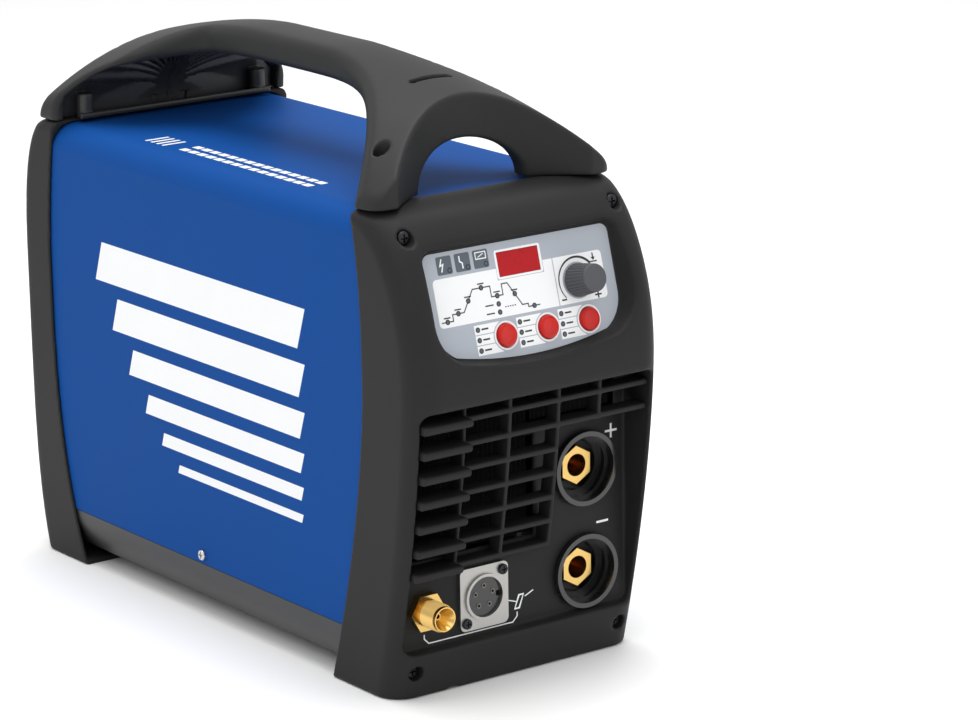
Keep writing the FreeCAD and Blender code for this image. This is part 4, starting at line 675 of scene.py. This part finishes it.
# Printed plates: how far their underside and their face stand off the surface.
FIELD_PLATE, SIGN_PLATE = (0.02, 0.06), (0.06, 0.10)
INK_PLATE, LENS_PLATE = (0.10, 0.14), (0.10, 0.16)
WALL_PLATE, COVER_PLATE = (0.02, 0.08), (0.03, 0.09)
KEYS = [12.2 * k for k in range(3)]       # the three keys, from the first one
KEY_LAMPS = [(-46 + across, 22.8) for across in KEYS]
CAPTION_ROWS = (-11.8, -17.5, -23.2)      # three beside each button
LAMP_BESIDE, DASH_BESIDE = 18.2, 15.8     # how far left of its button each one is
BUTTON_LAMPS = [(x - LAMP_BESIDE, v) for x in BUTTONS for v in CAPTION_ROWS]
RING, RING_BORE, LENS = 1.5, 0.9, 0.88


def lamp_ring(across, along):
    """The dark ring printed round an indicator."""
    return [circle(across, along, RING, 20), circle(across, along, RING_BORE, 20)]


def dash(across, along, length, width=0.7):
    """A short bar that stands in for a caption."""
    return [rounded(across, across + length, along - width / 2, along + width / 2, 0.2)]


def caption_field(x, v):
    """The white field behind one caption, its right end curved round the button."""
    half, clear, left = 2.6, 8.5, x - 20.4
    top, middle, bottom = [
        (x - math.sqrt(max(clear ** 2 - (edge - BUTTON_ROW) ** 2, 9)) - 0.2, edge)
        for edge in (v + half, v, v - half)]
    return [[(left, v + half), top, middle, bottom, (left, v - half)]]


def label_fields():
    """White fields behind the diagram, knob, captions, and round the display and buttons."""
    low, high, divide, half_gap = -7.5, 19.0, 22.4, 0.3
    left, right, corner = -56, 53.5, 2.5  # middles of the rounded corners, and their radius
    frame_half, frame_low, frame_high = 15.5, 12.8, 28.8
    diagram = (arc(left, high - corner, corner, 180, 90, 5)
               + [(-frame_half - half_gap, high), (-frame_half - half_gap, frame_low - half_gap),
                  (frame_half + half_gap, frame_low - half_gap), (frame_half + half_gap, high),
                  (divide - half_gap, high), (divide - half_gap, low)]
               + arc(left, low + corner, corner, 270, 180, 5))
    knob_field = ([(divide + half_gap, low), (divide + half_gap, high)]
                  + arc(right, high - corner, corner, 90, 0, 5)
                  + arc(right, low + corner, corner, 0, -90, 5))
    display_frame = [rounded(-frame_half, frame_half, frame_low, frame_high, 1.4),
                     rounded(*DISPLAY, 0.3)]
    white = [[diagram], [knob_field, circle(*KNOB_AT, 10.2, 48)], display_frame]
    white += [[circle(x, BUTTON_ROW, 8.0, 40), circle(x, BUTTON_ROW, 7.0, 40)] for x in BUTTONS]
    white += [caption_field(x, v) for x in BUTTONS for v in CAPTION_ROWS]
    prints("label_white_fields", white, on_label, *FIELD_PLATE, WHITE, "label_grey")


def label_keys():
    """Three slate keys, with a generic sign on each."""
    keys = [[rounded(-54 + across, -44 + across, 20.8, 30.8, 1.0)] for across in KEYS]
    prints("label_keys", keys, on_label, *FIELD_PLATE, SLATE, "label_grey")
    flash = [(-50.4, 29.4), (-51.8, 25.8), (-49.8, 26.4), (-51.2, 22.4)]
    break_in_line = [(-38.6, 29.4), (-38.6, 26.4), (-37.0, 25.4), (-37.0, 22.4)]
    box_frame = [rounded(-28.2, -20.8, 25.6, 29.8, 0.4), rounded(-27.6, -21.4, 26.2, 29.2, 0.2)]
    rising_line = [(-26.4, 26.8), (-22.6, 28.6)]
    signs = [[stroke(flash, 0.8)], [stroke(break_in_line, 0.8)], box_frame,
             [stroke(rising_line, 0.5)]]
    prints("label_key_signs", signs, on_label, *SIGN_PLATE, WHITE, "label_grey")


def weld_cycle():
    """The current over one weld: gas, start, rise, weld, pulse, weld, fall, crater, gas."""
    base, start, peak, dip = -4.5, -1.0, 10.4, 4.5
    left, stride, crater = -57, 7.8, (start + base) / 2
    return [(left + stride * step, level) for step, level in (
        (0, base), (1, base), (1, start), (2, start), (3, peak), (4.5, peak), (4.5, dip),
        (5.5, dip), (5.5, peak), (6, peak), (7, crater), (7.5, crater), (7.5, base), (8.5, base))]


def knob_scale():
    """An arc round the knob that swells as it goes."""
    radius, thin, swell, steps, start, end = 12.4, 0.5, 0.9, 39, 222, 38
    across, along = KNOB_AT
    outer = []
    for k, angle in enumerate(np.radians(np.linspace(start, end, steps + 1))):
        reach = radius + thin + swell * k / steps
        outer.append((across + reach * math.cos(angle), along + reach * math.sin(angle)))
    return outer + arc(across, along, radius, end, start, steps)


def label_ink():
    """Dark print: the cycle, indicator rings, captions and knob signs. Then the indicators."""
    cycle = weld_cycle()
    middles = [((a[0] + b[0]) / 2, (a[1] + b[1]) / 2) for a, b in zip(cycle, cycle[1:])]
    cycle_lamps = [middles[k] for k in (0, 2, 3, 4, 6, 9, 12)] + [(-18, 0), (-18, -4.5)]
    dark = [[stroke(cycle, 0.6)]] + [lamp_ring(*lamp) for lamp in cycle_lamps]
    dark += [dash(x - 2.2, v + 2.2, 4.4) for x, v in cycle_lamps[:6]]
    dark += [dash(-27, v, 5.5) for v in (0, -4.5)]
    dark += [dash(-14 + 1.6 * k, -2.2, 0.8) for k in range(5)]
    for x in BUTTONS:
        dark += [lamp_ring(x - LAMP_BESIDE, v) for v in CAPTION_ROWS]
        dark += [dash(x - DASH_BESIDE, v, 4.6, 0.9) for v in CAPTION_ROWS]
    dark += [lamp_ring(*lamp) for lamp in KEY_LAMPS]
    dark += [[knob_scale()], dash(24.4, -4.8, 3.4, 0.9), dash(47.2, -5.2, 4.6, 0.9)]
    dark.append([stroke([(49.5, -7.2), (49.5, -3.2)], 0.9)])
    arrow_shaft, arrow_bar = [(50, 18), (50, 14.8)], [(47.6, 13.2), (52.4, 13.2)]
    arrow_head = [(48.6, 15.6), (51.4, 15.6), (50, 13.8)]
    dark += [[stroke(arrow_shaft, 0.8)], [stroke(arrow_bar, 0.7)], [arrow_head]]
    prints("label_dark_print", dark, on_label, *INK_PLATE, INK, "label_grey")
    lamps = cycle_lamps + BUTTON_LAMPS + KEY_LAMPS
    prints("label_lamp_lenses", [[circle(x, v, LENS, 16)] for x, v in lamps], on_label,
           *LENS_PLATE, SLATE, "label_grey")


def plus_sign(across, up, arm, width):
    """An upright cross: one corner of it, turned four times."""
    half = width / 2
    corner = [(half, arm), (half, half), (arm, half)]
    outline = []
    for _ in range(4):
        outline += corner
        corner = [(v, -u) for u, v in corner]
    return [(across + u, up + v) for u, v in outline]


def wall_marks():
    """Polarity signs and the line that joins the gas outlet and control socket to a torch."""
    arm, width, line_width = 4.2, 1.3, 0.7
    minus_x, minus_z = 63.0, 76.0
    minus = rounded(minus_x - arm, minus_x + arm, minus_z - width / 2, minus_z + width / 2, 0.3)
    gas_x, sign_x, line_z, line_end, chamfer = GAS_AT[0], 2.0, 29.5, 35.0, 3.0
    joining = [(gas_x, line_end), (gas_x, line_z + chamfer), (gas_x + chamfer, line_z),
               (sign_x - chamfer, line_z), (sign_x, line_z + chamfer), (sign_x, line_end)]

    def torch_sign(inset):
        low, high = 36.5 + inset, 45 - inset
        return [(sign_x - 2 + inset, low), (sign_x + 1 + inset, high),
                (sign_x + 5 - inset, high), (sign_x + 2 - inset, low)]

    marks = [[plus_sign(69.6, 128.0, arm, width)], [minus], [stroke(joining, line_width)],
             [torch_sign(0), torch_sign(0.9)],
             [stroke([(sign_x + 5.5, 43), (sign_x + 11.5, 45.5)], line_width)],
             [stroke([(sign_x - 8, 43.5), (sign_x - 0.5, 41)], 0.6)]]
    prints("wall_marks", marks, on_wall, *WALL_PLATE, WHITE, "shell_black")


def cover_graphics():
    """Plain slanted stripes on both sides, and plain rules on top."""
    stripes, up = [], 208.0
    front, longest, shorter, gap = -96.0, 118.0, 17, 8
    for row, thick in enumerate((24, 20, 16, 12, 8, 5)):
        rear = longest - shorter * row
        slant = thick * 0.35
        stripes.append([[(front, up - thick), (front - slant, up), (rear - slant, up),
                         (rear, up - thick)]])
        up -= thick + gap
    prints("left_stripes", stripes, on_left, *COVER_PLATE, WHITE, "cover_blue")
    prints("right_stripes", stripes, on_right, *COVER_PLATE, WHITE, "cover_blue")
    rules, pitch = [], 9
    for row in range(2):
        left = -65 + pitch * row
        rules += [[rounded(left, left + 5, y, y + 7, 0.4)] for y in range(-84, 48, pitch)]
    rules += [[rounded(-66, -50, y, y + 2.5, 0.4)] for y in (64, 70, 76, 82)]
    prints("top_rules", rules, on_top, *COVER_PLATE, WHITE, "cover_blue")


def intake_filter():
    """Pleated dark filter behind the front intake."""
    fold, pleat_depth, thick, behind = 1.6, 1.1, 0.5, 3.4
    form = bmesh.new()
    for x0, x1, low, high in ((-73.0, 13.0, 79.0, 161.0), (15.0, 71.0, 143.0, 161.0)):
        count = int((x1 - x0) / fold)
        sheets = []
        for back in (0.0, thick):
            folds = []
            for k in range(count + 1):
                x, y = x0 + (x1 - x0) * k / count, FLOOR + behind + back + pleat_depth * (k % 2)
                folds.append([form.verts.new(Vector((x, y, z)) * MM) for z in (low, high)])
            sheets.append(folds)
        near, far = sheets
        for k in range(count):
            form.faces.new((near[k][0], near[k + 1][0], near[k + 1][1], near[k][1]))
            form.faces.new((far[k][0], far[k][1], far[k + 1][1], far[k + 1][0]))
            form.faces.new((near[k][1], near[k + 1][1], far[k + 1][1], far[k][1]))
            form.faces.new((near[k][0], far[k][0], far[k + 1][0], near[k + 1][0]))
        for k in (0, count):
            form.faces.new((near[k][0], near[k][1], far[k][1], far[k][0]))
    bmesh.ops.recalc_face_normals(form, faces=form.faces)
    data = bpy.data.meshes.new("intake_filter")
    form.to_mesh(data)
    form.free()
    settle(new_piece("intake_filter", data, FILTER), HOUSING, "tray_black")


front_bezel()
front_grille()
rear_bezel()
handle()
hood_wall()
label_fields()
label_keys()
label_ink()
wall_marks()
cover_graphics()
intake_filter()


# ------------------------------------------------------------------- stage
def camera():
    """The photograph's viewpoint."""
    turn, rise, roll = math.radians(-36.5), math.radians(14.8), math.radians(-0.9)
    aim, distance = Vector((0.006, -0.154, 0.174)), 2.2
    back = Vector((math.sin(turn) * math.cos(rise), -math.cos(turn) * math.cos(rise),
                   math.sin(rise)))
    right = (-back).cross(Vector((0, 0, 1))).normalized()
    up = right.cross(-back)
    right, up = (right * math.cos(roll) + up * math.sin(roll),
                 up * math.cos(roll) - right * math.sin(roll))
    data = bpy.data.cameras.new("camera")
    data.lens = 145.7
    data.sensor_width = 36.0
    data.clip_start, data.clip_end = 0.05, 50
    eye = bpy.data.objects.new("camera", data)
    pose = Matrix((right, up, back)).transposed().to_4x4()
    pose.translation = aim + back * distance
    eye.matrix_world = pose
    bpy.context.scene.collection.objects.link(eye)
    bpy.context.scene.camera = eye


def softbox(name, place, target, size, power, colour=(1, 1, 1)):
    """A large area light that looks at a point."""
    data = bpy.data.lights.new(name, "AREA")
    data.shape, data.size, data.size_y = "RECTANGLE", size[0], size[1]
    data.energy, data.color = power, colour
    lamp = bpy.data.objects.new(name, data)
    lamp.location = place
    lamp.rotation_euler = (Vector(target) - Vector(place)).to_track_quat("-Z", "Y").to_euler()
    bpy.context.scene.collection.objects.link(lamp)


def studio():
    """Pale floor, soft boxes and an even surround."""
    half = 6.0
    data = bpy.data.meshes.new("floor")
    data.from_pydata([(-half, -half, 0), (half, -half, 0), (half, half, 0), (-half, half, 0)], [],
                     [(0, 1, 2, 3)])
    paper = surface("floor_paper", (0.93, 0.93, 0.93), 0.9, vary=0.005, patch=2, shine=0.1)
    floor = new_piece("floor", data, paper)
    middle = (0, 0, 0.17)
    softbox("key", (-1.5, -1.2, 1.9), middle, (1.4, 1.4), 8)
    softbox("overhead", (0.1, 0.2, 2.2), middle, (1.8, 1.8), 42)
    softbox("front_fill", (0.9, -2.2, 0.9), middle, (1.2, 1.6), 5)
    softbox("side_fill", (-2.2, 0.6, 0.8), middle, (1.4, 1.4), 2)
    world = bpy.data.worlds.new("surround")
    world.use_nodes = True
    world.node_tree.nodes["Background"].inputs["Color"].default_value = (1, 1, 1, 1)
    world.node_tree.nodes["Background"].inputs["Strength"].default_value = 0.78
    bpy.context.scene.world = world
    bpy.context.scene.view_settings.view_transform = "Standard"


camera()
studio()
